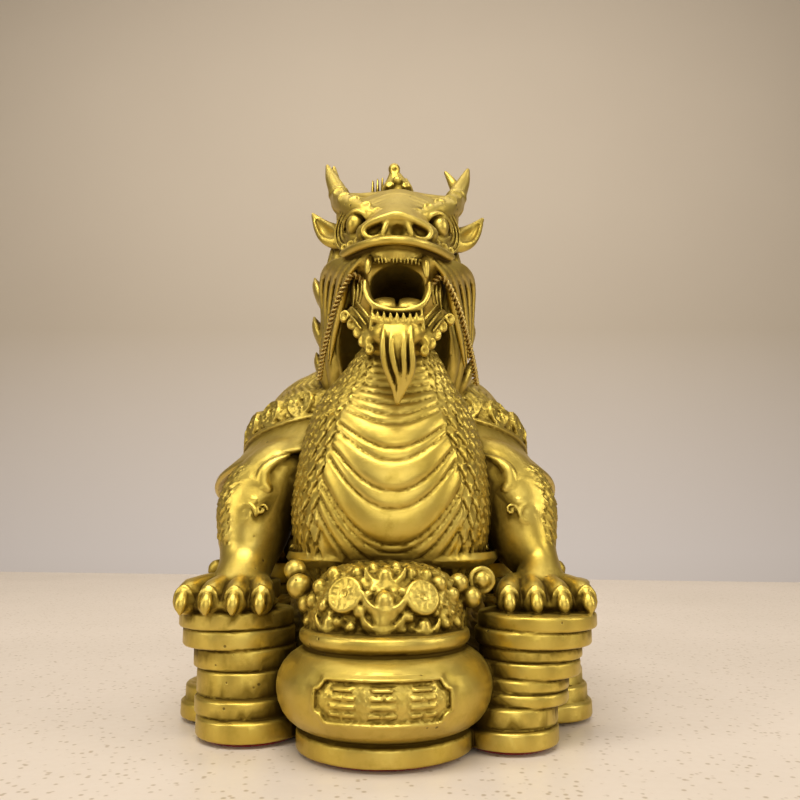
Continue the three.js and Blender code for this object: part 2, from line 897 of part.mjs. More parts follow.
// A place on the front of the mound: `aside` and `level` are shares of its radius and its height
function onMound(aside, level, sunk = 0) {
  const x = aside * moundRadius;
  const up = level * moundHeight;
  const reach = moundReach(up) - sunk;
  const back = moundSquash * Math.sqrt(Math.max(0, reach ** 2 - x ** 2));
  return moundMiddle.clone().add(new THREE.Vector3(x, -back, up));
}

// What shows over the rim of the bowl
function bowlTreasure() {
  const pearls = [
    [-0.34, 0.21],
    [-0.51, 0.1],
    [-0.83, 0.32],
    [0.21, 0.21],
    [0.74, 0.16],
    [0.68, 0.69],
    [-0.66, 0.71],
    [-0.89, 0.57],
    [0.89, 0.55],
    [0, 0.9],
  ];
  return [
    disc(onMound(-0.04, -0.05, 5), 7.4, 7, 14),
    ingot(onMound(-0.04, 0.41, 1), ingotLength),
    ingot(onMound(-0.04, 0.71, 1), ingotLength * 0.78),
    ingot(onMound(-0.64, 0.16, 1), ingotLength * 0.72, -0.5),
    ingot(onMound(0.49, 0.14, 1), ingotLength * 0.78, 0.25),
    heapCoin(onMound(-0.51, 0.53), new THREE.Vector3(-0.35, -1, 0.35)),
    heapCoin(onMound(0.43, 0.51), new THREE.Vector3(0.3, -1, 0.35)),
    heapCoin(onMound(0.83, 0.32), new THREE.Vector3(0.8, -0.6, 0.2)),
    ...pearls.map(([aside, level]) => knob(onMound(aside, level, 0.6), pearlRadius, 7, 5)),
  ];
}

// A short pile of coins on the flank or behind, its coins a little out of line
function pile(x, y, radius, count) {
  const coins = Array.from({ length: count }, (_, i) =>
    disc(
      new THREE.Vector3(x - Math.sign(x) * i * 1.4, y + i * 1.2, baseHeight + i * flankCoinThickness),
      radius,
      flankCoinThickness,
      14
    )
  );
  return joined(coins);
}

// Coins, ingots and pearls round the flanks and the back of the base, placed by shares of the half spacing
function flankTreasure() {
  const place = (aside, back, height) =>
    new THREE.Vector3(aside * halfSpacing, back * halfSpacing, height);
  const heapOf = (aside, back, count) =>
    pile(aside * halfSpacing, back * halfSpacing, flankCoinRadius, count);
  const onPile = (count) => baseHeight + count * flankCoinThickness + ingotLength * 0.08;
  return bothSides.flatMap((side) => {
    const front = side > 0 ? 3 : 2;
    return [
      heapOf(1.11 * side, -0.34, front),
      heapOf(1.07 * side, 0.15, 3),
      heapOf(1.04 * side, 0.49, 2),
      heapOf(0.6 * side, 1.23, 3),
      heapOf(0.22 * side, 1.4, 2),
      ingot(place(1.19 * side, -0.3, onPile(front)), ingotLength * 1.4, 1.2 * side),
      ingot(place(1.15 * side, 0.19, onPile(3)), ingotLength * 1.3, -0.7 * side),
      ingot(place(0.64 * side, 1.34, onPile(3)), ingotLength * 1.3, 0.5 * side),
      ingot(place(0.19 * side, 1.53, onPile(2)), ingotLength * 1.2, -0.3 * side),
      disc(place(1.085 * side, -0.41, stackTop + 2 * share), flankCoinRadius * 1.06, 6.5, 20),
      disc(place(0.85 * side, 0.15, stackTop - 8 * share), flankCoinRadius, 6.5, 18),
      knob(place(1.2 * side, -0.39, stackTop + 10 * share), pearlRadius * 1.2),
      knob(place(1.04 * side, 0.22, stackTop), pearlRadius * 1.6),
    ];
  });
}

// The whisker's route, from the corner of the mouth down to the edge of the shell
function whiskerRoute(side) {
  return new THREE.CatmullRomCurve3([
    headAt(13 * side, -47, 121),
    headAt(15.6 * side, -50.5, 117.5),
    headAt(20.2 * side, -47.5, 107.5),
    headAt(24.5 * side, -42, 98),
    headAt(27 * side, -35, 90),
    headAt(29 * side, -27, 83.5),
  ]);
}

function whisker(side, diameter) {
  const section = new THREE.Shape();
  section.absarc(0, 0, diameter / 2, 0, 2 * Math.PI, false);
  return new THREE.ExtrudeGeometry(section, {
    steps: 12,
    curveSegments: 3,
    extrudePath: whiskerRoute(side),
  });
}

async function casting() {
  const headParts = [head(), maneHood(), ...maneLocks()];
  const bodyParts = [
    dome(),
    ...scutes(),
    shellBorder(),
    shellSkirt(),
    ...borderCoins(),
    ...bothSides.flatMap((side) => [...frontLeg(side), ...hindLeg(side)]),
    ...tail(),
  ];
  const treasureParts = [heapCore(), mound(), ...hindStacks(), ...bowlTreasure(), ...flankTreasure()];
  const parts = [
    await thinned(joined(headParts), headFacets),
    await thinned(joined(bodyParts), bodyFacets),
    await thinned(joined(treasureParts), treasureFacets),
    chest(),
    plastronRim(),
    ...frontStacks(),
    bowl().subtract(plaqueCut()),
  ];
  const sockets = bothSides.map((side) => solid(whisker(side, whiskerDiameter + 2 * clearance)));
  const whole = await thinned(joined(parts), castingFacets);
  return whole.subtract(joined(sockets));
}

// The felt follows the foot of the casting, a little inside its edge
function feltPad() {
  const foot = stackCoinRadius * 0.86 - feltInset;
  const inner = halfSpacing - stackCoinRadius * 0.4;
  const core = halfSpacing - 2 - feltInset;
  const middle = [
    [0, 0],
    [core, 0],
    [core, feltThickness],
    [0, feltThickness],
  ];
  return joined([
    disc(new THREE.Vector3(0, bowlY, 0), bowlFootRadius - feltInset, feltThickness, 20),
    disc(new THREE.Vector3(-inner, leftStackY, 0), foot, feltThickness, 14),
    disc(new THREE.Vector3(inner, rightStackY, 0), foot, feltThickness, 14),
    turned(middle, new THREE.Vector3(0, 8, 0), 20, 1.28),
  ]);
}

function named(name, geometry, material) {
  geometry.computeVertexNormals();
  const mesh = new THREE.Mesh(geometry, material);
  mesh.name = name;
  return mesh;
}

const brass = () => new THREE.MeshStandardMaterial({ color: 0xb08d2e, roughness: 0.38, metalness: 1 });
const wire = () => new THREE.MeshStandardMaterial({ color: 0x9a7a2c, roughness: 0.45, metalness: 1 });
const felt = () => new THREE.MeshStandardMaterial({ color: 0xa01818, roughness: 0.95, metalness: 0 });

const figure = new THREE.Group();
figure.add(named('dragon_turtle', parted(await casting()), brass()));
figure.add(named('whisker_left', whisker(-1, whiskerDiameter), wire()));
figure.add(named('whisker_right', whisker(1, whiskerDiameter), wire()));
figure.add(named('felt_pad', geometryOf(feltPad()), felt()));

// The origin stands under the middle of the whole
const middle = new THREE.Box3().setFromObject(figure).getCenter(new THREE.Vector3());
figure.position.set(-middle.x, -middle.y, 0);

export default figure;
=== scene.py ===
import itertools
import math

import bpy
import numpy as np
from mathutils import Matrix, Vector


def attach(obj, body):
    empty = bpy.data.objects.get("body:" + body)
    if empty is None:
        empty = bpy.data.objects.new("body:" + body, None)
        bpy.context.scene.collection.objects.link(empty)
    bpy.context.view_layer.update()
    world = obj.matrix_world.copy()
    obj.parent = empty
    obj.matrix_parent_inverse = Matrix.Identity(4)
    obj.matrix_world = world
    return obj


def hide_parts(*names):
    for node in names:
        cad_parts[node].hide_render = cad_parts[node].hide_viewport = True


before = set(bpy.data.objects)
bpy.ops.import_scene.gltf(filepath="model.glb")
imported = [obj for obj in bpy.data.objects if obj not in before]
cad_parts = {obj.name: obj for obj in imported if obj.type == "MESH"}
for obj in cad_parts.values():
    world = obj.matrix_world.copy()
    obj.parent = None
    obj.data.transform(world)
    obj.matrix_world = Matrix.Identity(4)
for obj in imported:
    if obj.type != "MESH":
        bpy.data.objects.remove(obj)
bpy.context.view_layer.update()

# Dragon turtle figure. The brass casting is shaped as a field of distances on a fine grid, then
# made a mesh. Millimetres until the mesh is made. The figure faces -Y and stands on its felt at
# z = 0.

GRID = 0.55  # spacing of the grid
FACES = 190000  # triangles kept on the casting
STACK_TOP = 41.5  # height of the top of the front coin stacks
BASE = 1.3  # height of the casting's underside
HEAD_SHIFT = 4.0  # the head is a little to one side of the shell's middle
HEAD_LEAN = 0.03  # how far the head's right side lies lower, for each millimetre of x
MIDDLE = (0.22, -0.50)  # where the middle of the whole puts the figure's own origin
HALF_SPACING = 53.5  # from the middle to the middles of the coin stacks
HIND_STACK_HEIGHT = 51.8
SIDES = (-1, 1)
X, Y, Z = (1, 0, 0), (0, 1, 0), (0, 0, 1)


def at(x, y, z):
    """A point of the turtle, its height counted from the top of the front coin stacks"""
    return (x, y, STACK_TOP + z)


def head_at(x, y, z):
    """A point of the head, which looks out a little to one side and leans a little"""
    return (HEAD_SHIFT + x, y, STACK_TOP + z - HEAD_LEAN * x)


# The field


def smooth_min(a, b, blend):
    """The nearer of two surfaces, rounded where they meet over the length `blend`"""
    if blend <= 0:
        return np.minimum(a, b)
    h = np.clip(0.5 + 0.5 * (b - a) / blend, 0, 1)
    return b + (a - b) * h - blend * h * (1 - h)


class Shape:
    """A form as a function of distances, with the box that holds it"""

    def __init__(self, low, high, distance):
        self.low = np.array(low, np.float64)
        self.high = np.array(high, np.float64)
        self.distance = distance


class Clay:
    """A solid as distances on a grid, below zero inside"""

    def __init__(self, low, high, step):
        self.step = step
        self.low = np.floor(np.array(low, np.float64) / step) * step
        count = np.ceil((np.array(high) - self.low) / step).astype(int) + 1
        self.field = np.full(count, 6.0, np.float32)

    def window(self, shape, margin):
        top = np.array(self.field.shape)
        start = np.floor((shape.low - margin - self.low) / self.step).astype(int)
        stop = np.ceil((shape.high + margin - self.low) / self.step).astype(int) + 1
        start = np.clip(start, 0, top)
        stop = np.clip(stop, 0, top)
        cells = tuple(slice(a, b) for a, b in zip(start, stop))
        lines = [
            (self.low[k] + self.step * np.arange(start[k], stop[k])).astype(np.float32)
            for k in range(3)
        ]
        x = lines[0][:, None, None]
        y = lines[1][None, :, None]
        z = lines[2][None, None, :]
        return cells, x, y, z

    def add(self, shape, blend=0.5):
        cells, x, y, z = self.window(shape, blend + 1.6)
        if min(self.field[cells].shape) > 0:
            self.field[cells] = smooth_min(self.field[cells], shape.distance(x, y, z), blend)

    def cut(self, shape, blend=0.4):
        cells, x, y, z = self.window(shape, blend + 1.6)
        if min(self.field[cells].shape) > 0:
            self.field[cells] = -smooth_min(-self.field[cells], shape.distance(x, y, z), blend)

    def add_all(self, shapes, blend=0.5):
        for shape in shapes:
            self.add(shape, blend)


# Shapes


def ball(centre, radii, turn=None):
    """An ellipsoid, with its axes turned by a 3x3 matrix if one is given"""
    c = np.array(centre, np.float32)
    r = np.array(radii if np.ndim(radii) else (radii,) * 3, np.float32)
    reach = float(r.max()) if turn is not None else r

    def distance(x, y, z):
        p = [x - c[0], y - c[1], z - c[2]]
        if turn is not None:
            p = [sum(turn[i][k] * p[i] for i in range(3)) for k in range(3)]
        k0 = np.sqrt(sum((p[k] / r[k]) ** 2 for k in range(3)))
        k1 = np.sqrt(sum((p[k] / r[k] ** 2) ** 2 for k in range(3)))
        return k0 * (k0 - 1) / np.maximum(k1, 1e-4)

    return Shape(c - reach, c + reach, distance)


def spline(points, t):
    """A smooth curve through the points, at t from 0 to 1"""
    points = np.array(points, np.float64)
    n = len(points) - 1
    padded = np.vstack([2 * points[0] - points[1], points, 2 * points[-1] - points[-2]])
    s = np.clip(np.asarray(t, np.float64) * n, 0, n - 1e-9)
    i = s.astype(int)
    f = (s - i)[:, None]
    a, b, c, d = (padded[i + k] for k in range(4))
    second, third = 2 * a - 5 * b + 4 * c - d, 3 * b - a - 3 * c + d
    return 0.5 * (2 * b + (c - a) * f + second * f**2 + third * f**3)


def measured(points, count):
    """A smooth curve through the points, and how far along it each of its steps lies"""
    path = spline(points, np.linspace(0, 1, count))
    steps = np.linalg.norm(np.diff(path, axis=0), axis=1)
    return path, np.concatenate([[0], np.cumsum(steps)])


def limb(stations, across=X, fine=4, relief=None):
    """A tapering form along a curve; each station is a point, a half-width and a half-depth"""
    count = fine * (len(stations) - 1)
    t = np.linspace(0, 1, count + 1)
    path = spline([s[0] for s in stations], t)
    girth = np.maximum(spline([(s[1], s[2]) for s in stations], t), 0.15)
    across = np.array(across, np.float64)
    reach = girth.max(axis=1)[:, None]
    low = (path - reach).min(axis=0)
    high = (path + reach).max(axis=0)

    def distance(x, y, z):
        shape = np.broadcast_shapes(x.shape, y.shape, z.shape)
        best = np.full(shape, 9.0, np.float32)
        place = np.zeros((3,) + shape, np.float32) if relief else None
        lines = [x.ravel(), y.ravel(), z.ravel()]
        for i in range(count):
            a, b = path[i], path[i + 1]
            span = b - a
            size = np.linalg.norm(span)
            if size < 1e-6:
                continue
            tangent = span / size
            front = np.cross(across, tangent)
            front /= np.linalg.norm(front)
            side = np.cross(tangent, front)
            (wa, da), (wb, db) = girth[i], girth[i + 1]
            near = max(wa, da, wb, db) + 2.4
            cells = []
            for k in range(3):
                start = np.searchsorted(lines[k], min(a[k], b[k]) - near)
                stop = np.searchsorted(lines[k], max(a[k], b[k]) + near)
                cells.append(slice(start, stop))
            cells = tuple(cells)
            if min(best[cells].shape) == 0:
                continue
            px = x[cells[0]] - np.float32(a[0])
            py = y[:, cells[1]] - np.float32(a[1])
            pz = z[:, :, cells[2]] - np.float32(a[2])
            tangent, front, side = (v.astype(np.float32) for v in (tangent, front, side))
            along = px * tangent[0] + py * tangent[1] + pz * tangent[2]
            f = np.clip(along / np.float32(size), 0, 1)
            over = along - f * np.float32(size)
            s = px * side[0] + py * side[1] + pz * side[2]
            d = px * front[0] + py * front[1] + pz * front[2]
            w = np.float32(wa) + np.float32(wb - wa) * f
            q = np.float32(da) + np.float32(db - da) * f
            m = np.minimum(w, q)
            sw, dq, om = s / w, d / q, over / m
            k0 = np.sqrt(sw**2 + dq**2 + om**2)
            k1 = np.sqrt((sw / w) ** 2 + (dq / q) ** 2 + (om / m) ** 2)
            value = k0 * (k0 - 1) / np.maximum(k1, 1e-4)
            if relief:
                nearer = value < best[cells]
                for k, field in enumerate(((i + f) / count, sw, dq)):
                    view = place[k][cells]
                    view[nearer] = field[nearer]
            best[cells] = np.minimum(best[cells], value)
        if relief:
            best = best - relief(x, y, z, *place)
        return best

    return Shape(low, high, distance)


def body_limb(rows, side=1, place=at, **options):
    """A limb from rows of x, y, z, half-width and, where it differs, half-depth

    x counts outwards on the side given, -1 or 1.
    """
    stations = [
        (place(side * x, y, z), wide, deep[0] if deep else wide) for x, y, z, wide, *deep in rows
    ]
    return limb(stations, **options)


def head_limb(rows, side=1, **options):
    return body_limb(rows, side, head_at, **options)


def mirrored(rows, *middle):
    """Rows of the right side led from the left side over the middle to the right"""
    return [*((-x, *rest) for x, *rest in rows), *middle, *reversed(rows)]


def spike(foot, tip, radius, blunt=0.2):
    middle = tuple((a + b) / 2 for a, b in zip(foot, tip))
    across = Y if abs(tip[1] - foot[1]) < abs(tip[2] - foot[2]) + abs(tip[0] - foot[0]) else X
    stations = [(foot, radius, radius), (middle, radius * 0.68, radius * 0.68), (tip, blunt, blunt)]
    return limb(stations, across=across, fine=3)


def frame_of(facing):
    """Three unit vectors, the last one along `facing`"""
    w = np.array(facing, np.float64)
    w /= np.linalg.norm(w)
    u = np.cross(Z if abs(w[2]) < 0.9 else Y, w)
    u /= np.linalg.norm(u)
    return u, np.cross(w, u), w


def drum(centre, facing, radius, thickness, edge=0.5, relief=None, wobble=0.0):
    """A round disc with softened edges, its middle at `centre` and its faces across `facing`"""
    c = np.array(centre, np.float64)
    u, v, w = (k.astype(np.float32) for k in frame_of(facing))
    half = thickness / 2
    reach = np.sqrt(np.maximum(radius**2 * (1 - w**2), 0)) + half * np.abs(w) + wobble

    def distance(x, y, z):
        p = [x - np.float32(c[0]), y - np.float32(c[1]), z - np.float32(c[2])]
        a = sum(u[k] * p[k] for k in range(3))
        b = sum(v[k] * p[k] for k in range(3))
        h = sum(w[k] * p[k] for k in range(3))
        rho = np.sqrt(a**2 + b**2)
        if wobble:
            turn = np.arctan2(b, a)
            rho = rho + wobble * np.sin(3 * turn + c[0])
        out = rho - (radius - edge)
        up = np.abs(h) - (half - edge)
        corner = np.hypot(np.maximum(out, 0), np.maximum(up, 0))
        d = np.minimum(np.maximum(out, up), 0) + corner - edge
        if relief:
            d = d - relief(a, b, h, rho)
        return d

    return Shape(c - reach, c + reach, distance)


def hoop(centre, facing, radius, thick, squash=1.0):
    """A ring of round section"""
    c = np.array(centre, np.float64)
    u, v, w = (k.astype(np.float32) for k in frame_of(facing))
    reach = radius * max(1, squash) + thick

    def distance(x, y, z):
        p = [x - np.float32(c[0]), y - np.float32(c[1]), z - np.float32(c[2])]
        a = sum(u[k] * p[k] for k in range(3))
        b = sum(v[k] * p[k] for k in range(3)) / squash
        h = sum(w[k] * p[k] for k in range(3))
        return np.hypot(np.hypot(a, b) - radius, h) - thick

    return Shape(c - reach, c + reach, distance)


def polygon_table(points, step=0.25, margin=4.0):
    """Signed distances to a closed outline, on a small table of its own"""
    points = np.array(points, np.float64)
    low = points.min(axis=0) - margin
    low[0] = min(low[0], -margin)
    high = points.max(axis=0) + margin
    nx, nz = (np.ceil((high - low) / step).astype(int) + 1).tolist()
    gx = low[0] + step * np.arange(nx)[:, None]
    gz = low[1] + step * np.arange(nz)[None, :]
    best = np.full((nx, nz), 1e9)
    inside = np.zeros((nx, nz), bool)
    for (ax, az), (bx, bz) in zip(points, np.roll(points, -1, axis=0)):
        ex, ez = bx - ax, bz - az
        t = np.clip(((gx - ax) * ex + (gz - az) * ez) / max(ex * ex + ez * ez, 1e-12), 0, 1)
        best = np.minimum(best, (gx - ax - t * ex) ** 2 + (gz - az - t * ez) ** 2)
        if az != bz:
            crosses = ((az > gz) != (bz > gz)) & (gx < ax + (gz - az) * ex / ez)
            inside ^= crosses
    table = np.sqrt(best) * np.where(inside, -1, 1)
    return table.astype(np.float32), low, step


def read_table(table, low, step, r, z):
    nx, nz = table.shape
    fx = np.clip((r - np.float32(low[0])) / np.float32(step), 0, nx - 1.001)
    fz = np.clip((z - np.float32(low[1])) / np.float32(step), 0, nz - 1.001)
    fx, fz = np.broadcast_arrays(fx, fz)
    ix, iz = fx.astype(np.int32), fz.astype(np.int32)
    tx, tz = fx - ix, fz - iz
    flat = table.ravel()
    at00 = ix * nz + iz
    upper = flat[at00] * (1 - tz) + flat[at00 + 1] * tz
    lower = flat[at00 + nz] * (1 - tz) + flat[at00 + nz + 1] * tz
    return upper * (1 - tx) + lower * tx


def turned(profile, centre=(0, 0, 0), squash=1.0, relief=None, soft=0.0):
    """A turned form about an upright axis; the profile is a closed outline of radius and height"""
    mirrored = [(r, h) for r, h in profile] + [(-r, h) for r, h in reversed(profile) if r > 0]
    solid_core = profile[0][0] <= 0 and profile[-1][0] <= 0
    table, low, step = polygon_table(mirrored if solid_core else profile)
    radius = max(r for r, _ in profile)
    heights = [h for _, h in profile]
    c = np.array(centre, np.float64)

    def distance(x, y, z):
        a = x - np.float32(c[0])
        b = (y - np.float32(c[1])) / np.float32(squash)
        h = z - np.float32(c[2])
        rho = np.sqrt(a**2 + b**2)
        d = read_table(table, low, step, rho, h) - soft
        if relief:
            d = d - relief(a, b, h, rho)
        return d

    return Shape(
        c + (-radius, -radius * squash, min(heights)),
        c + (radius, radius * squash, max(heights)),
        distance,
    )


def tilted(shape, middle, angle):
    """The shape as it lies after a turn about the X axis and a move of its origin to `middle`"""
    ca, sa = math.cos(angle), math.sin(angle)
    x, y, z = np.array(list(itertools.product(*zip(shape.low, shape.high)))).T
    world = np.stack([x, y * ca - z * sa, y * sa + z * ca], 1) + np.array(middle)

    def distance(x, y, z):
        px, py, pz = (p - np.float32(m) for p, m in zip((x, y, z), middle))
        c, s = np.float32(ca), np.float32(sa)
        return shape.distance(px, py * c + pz * s, pz * c - py * s)

    return Shape(world.min(axis=0), world.max(axis=0), distance)


# Patterns of low relief, each a height in millimetres


def fract(value):
    return value - np.floor(value)


def fish_scales(u, v, height):
    """Pointed scales that lap downwards; u runs sideways and v upwards, one scale to a unit"""
    a = fract(u + v)
    b = fract(v - u)
    return height * (0.55 - 0.5 * (a + b))


def hexagons(u, v):
    """Distance from the nearest edge of a six-sided cell one unit across"""
    sx, sy = 1.0, math.sqrt(3.0)
    ax, ay = fract(u / sx) * sx - sx / 2, fract(v / sy) * sy - sy / 2
    bx, by = fract(u / sx + 0.5) * sx - sx / 2, fract(v / sy + 0.5) * sy - sy / 2
    nearer = ax**2 + ay**2 < bx**2 + by**2
    px, py = np.abs(np.where(nearer, ax, bx)), np.abs(np.where(nearer, ay, by))
    return 0.5 - np.maximum(px, px * 0.5 + py * (math.sqrt(3.0) / 2))


def grain(x, y, z, pitch, height):
    """Low uneven relief with no pattern in it"""
    k = 2 * math.pi / pitch
    wave = np.sin(k * (x + 0.37 * y)) * np.sin(k * (0.83 * z - 0.41 * x)) + np.sin(
        k * 1.7 * (y + 0.29 * z)
    ) * np.sin(k * 1.9 * (z + 0.53 * x))
    return height * 0.5 * wave


# Head


def skull_shapes():
    skull = head_limb([
        (0, -6, 150, 14, 10), (0, -15, 149.5, 20.5, 13), (0, -28, 146, 21, 12),
        (0, -41, 138.5, 17, 9.8), (0, -52, 132.5, 12.5, 8), (0, -57, 130.5, 9, 5.5),
    ])
    cheeks = head_limb([
        (0, -14, 120, 14), (0, -28, 118, 18.5, 17), (0, -42, 118, 17, 12.5), (0, -51, 121, 14, 6),
    ])
    bridge = head_limb([
        (0, -18, 153, 9, 8.5), (0, -30, 150.5, 8.5, 7.5), (0, -40, 145.5, 6.5, 5.6),
        (0, -49, 140.0, 6.5, 4.4), (0, -56, 135, 8.5, 4),
    ])
    temples = [
        head_limb([
            (19.5, -22, 153.5, 5.2, 6), (18.6, -28, 146, 5.2, 8.5), (15.8, -36, 137, 4.8, 9),
            (14, -42, 128, 5, 8),
        ], s)
        for s in SIDES
    ]
    top = head_limb([
        (-19, -18, 157.6, 4.4), (0, -17, 158.2, 5.0), (19, -18, 157.6, 4.4),
    ], across=Y)
    return [skull, cheeks, bridge, top, *temples]


def curl(centre, facing, radius):
    """A small curl: a ring on a low knob"""
    x, y, z = centre
    return [
        ball((x, y + 1.3, z - 0.3), (radius, 1.5, radius)),
        hoop((x, y - 0.1, z), facing, radius * 0.8, 0.6),
    ]


def curl_row(rows, s, out, up):
    """Curls at rows of x, y, z and radius on one side of the head, turned outwards and upwards"""
    places = [(head_at(x * s, y, z), radius) for x, y, z, radius in rows]
    return [part for spot, radius in places for part in curl(spot, (out * s, -1, up), radius)]


def muzzle_shapes():
    rows = (
        (11.4, -56.5, 131.2, 3.2, 3.4), (8, -57.0, 132.6, 4.2), (4, -57.4, 133.3, 4.4, 4.7),
    )
    return [head_limb(mirrored(rows, (0, -57.6, 133.6, 4.4, 5.2)), across=Y, fine=3)]


def muzzle_rims():
    """The thick rim over the nose that curls round under each nostril, and what lies inside it"""
    rim = (
        (6.2, -61.6, 129.0, 0.5), (8.1, -61.4, 128.0, 0.8), (10.5, -60.4, 128.5, 1.0),
        (11.9, -59.4, 130.8, 1.2), (10.6, -59.8, 132.9, 1.3), (7.0, -60.6, 134.5, 1.5),
        (3.2, -61.0, 135.7, 1.7),
    )
    wing = ((4.9, -61.8, 128.6, 1.0), (4.5, -61.6, 131.0, 1.1), (3.2, -60.8, 134.6, 1.1))
    return [
        head_limb(mirrored(rim, (0, -61.2, 136.3, 1.9)), across=Y, fine=3),
        *(head_limb(wing, s, across=Y) for s in SIDES),
    ]


def muzzle_cuts():
    slot = ((10.4, -62.8, 131.0, 2.6, 2.0), (4, -63.8, 131.6, 2.6))
    nostril = (
        (9.8, -61.4, 130.5, 1.6, 2.6), (7.9, -61.6, 131.2, 1.9, 3.2), (6.2, -61.4, 132.2, 1.2, 2.4),
    )
    return [
        head_limb(mirrored(slot), across=Y),
        *(head_limb(nostril, s, across=Z) for s in SIDES),
        ball(head_at(0.2, -61.8, 130.6), (2.6, 2.8, 2.3)),
    ]


def lip_shapes():
    def roll(y, z, back, rise, wide, deep, reach):
        """A roll of the lip from corner to corner, which bends back and rises at its ends"""
        rows = []
        for k in range(-4, 5):
            bend = (k / 4) ** 2
            slim = 1 - 0.4 * bend
            rows.append((reach * k / 4, y + back * bend, z + rise * bend, wide * slim, deep))
        return head_limb(rows, across=Y, fine=3)

    return [
        roll(-60.6, 127.0, 14.0, -0.6, 5.0, 1.6, 17.5),
        roll(-66.2, 124.9, 17.0, 0.6, 3.8, 0.9, 19.0),
        roll(-69.2, 124.2, 18.0, 0.9, 0.95, 0.95, 19.4),
        roll(-63.0, 122.4, 12.5, 0.4, 1.9, 2.9, 15.0),
        roll(-58.0, 122.6, 14.0, 0.0, 4.4, 2.6, 15.5),
    ]


def teeth_shapes():
    """Small upper teeth, a fang at each side, the gum with its lower teeth, and two lower fangs"""
    shapes = []
    for k in range(-6, 7):
        x = 1.26 * k
        y = -64.2 + 0.03 * x * x
        shapes.append(spike(head_at(x, y + 0.4, 120.2), head_at(x, y, 118.3), 0.62, 0.4))
    for s, tip, wide in ((-1, 114.9, 1.4), (1, 114.1, 1.6)):
        shapes.append(head_limb([
            (9.5, -60.6, 120.4, wide), (9.9, -61.6, 118.8, wide),
            (10.0, -62.4, 116.8, wide * 0.86), (10.2, -63.0, tip, 0.8),
        ], s))
    gum = ((8.2, -61.6, 99.2, 1.2, 1.5), (4.4, -63.4, 97.6, 1.4, 1.7))
    shapes.append(head_limb(mirrored(gum, (0, -64.0, 97.2, 1.5, 1.8)), across=Y, fine=3))
    for k in range(7):
        x = -6.6 + 2.2 * k
        y = -65.0 + 0.045 * x * x
        z = 97.4 + 0.018 * x * x
        shapes.append(spike(head_at(x, y, z), head_at(x, y - 0.3, z + 3.0), 1.05, 0.35))
    for s in SIDES:
        foot, tip = head_at(8.8 * s, -61.2, 95.5), head_at(8.3 * s, -61.6, 104.4)
        shapes.append(spike(foot, tip, 1.1, 0.35))
    return shapes


def mouth_cuts():
    throat = head_limb([
        (0, -90, 110.4, 10.6, 9.2), (0, -62, 110.4, 10.2, 9.2), (0, -48, 110.8, 9.8, 9.0),
        (0, -36, 111.0, 8.4, 7.4), (0, -28, 111.4, 4, 3),
    ])
    top = head_limb([
        (0, -80, 114.6, 9.8, 4.4), (0, -60, 114.6, 9.6, 4.4), (0, -46, 114.6, 8.6, 4.0),
    ])
    corners = [
        head_limb([
            (12.9, -70, 116.0, 2.5, 3.6), (12.9, -56, 116.0, 2.5, 3.6),
            (13.6, -46, 115.4, 1.8, 2.6),
        ], s)
        for s in SIDES
    ]
    return [throat, top, *corners]


def tongue_shapes():
    half = (
        (1.5, -32, 103.6, 4.5, 3.0), (3.2, -42, 104.8, 5.0, 3.4), (4.0, -51, 105.0, 5.8, 3.4),
        (3.9, -57.4, 105.0, 5.6, 2.8), (3.3, -60.2, 103.8, 4.6, 1.9), (2.6, -61.4, 102.6, 3.2, 1.0),
    )
    rim = (
        (11.0, -57.5, 113.4, 0.8, 1.1), (10.7, -58.8, 109.5, 1.1, 1.5),
        (9.2, -60.0, 105.4, 1.25, 1.6), (5.6, -61.4, 102.6, 1.3, 1.6),
    )
    return [
        *(head_limb(half, s) for s in SIDES),
        head_limb(mirrored(rim, (0, -62, 101.6, 1.3, 1.6)), across=Z),
    ]


def tongue_groove():
    return head_limb([
        (0, -62.5, 104.6, 0.6, 1.6), (0, -57, 107.2, 0.7, 1.6), (0, -48, 107.6, 0.5, 1.0),
    ])


def jaw_shapes():
    shapes = [
        head_limb([
            (0, -28, 96, 10, 5), (0, -42, 95, 12.4, 6.4), (0, -53, 94.4, 11.4, 6.4),
            (0, -60.5, 94.4, 9.0, 5.2),
        ]),
        ball(head_at(0, -61.4, 93.4), (8.0, 4.4, 4.6)),
    ]
    for s in SIDES:
        shapes += [
            ball(head_at(9.2 * s, -57.6, 91.2), (2.4, 2.8, 3.6)),
            head_limb([
                (9.4, -59.4, 92.5, 1.0, 2.8), (12.4, -55.0, 98.0, 1.0, 3.8),
                (15.4, -50.8, 102.4, 1.0, 3.4), (17.2, -47.6, 105.2, 0.8, 2.0),
            ], s, across=(0.55 * s, -0.83, 0.1)),
        ]
    return shapes


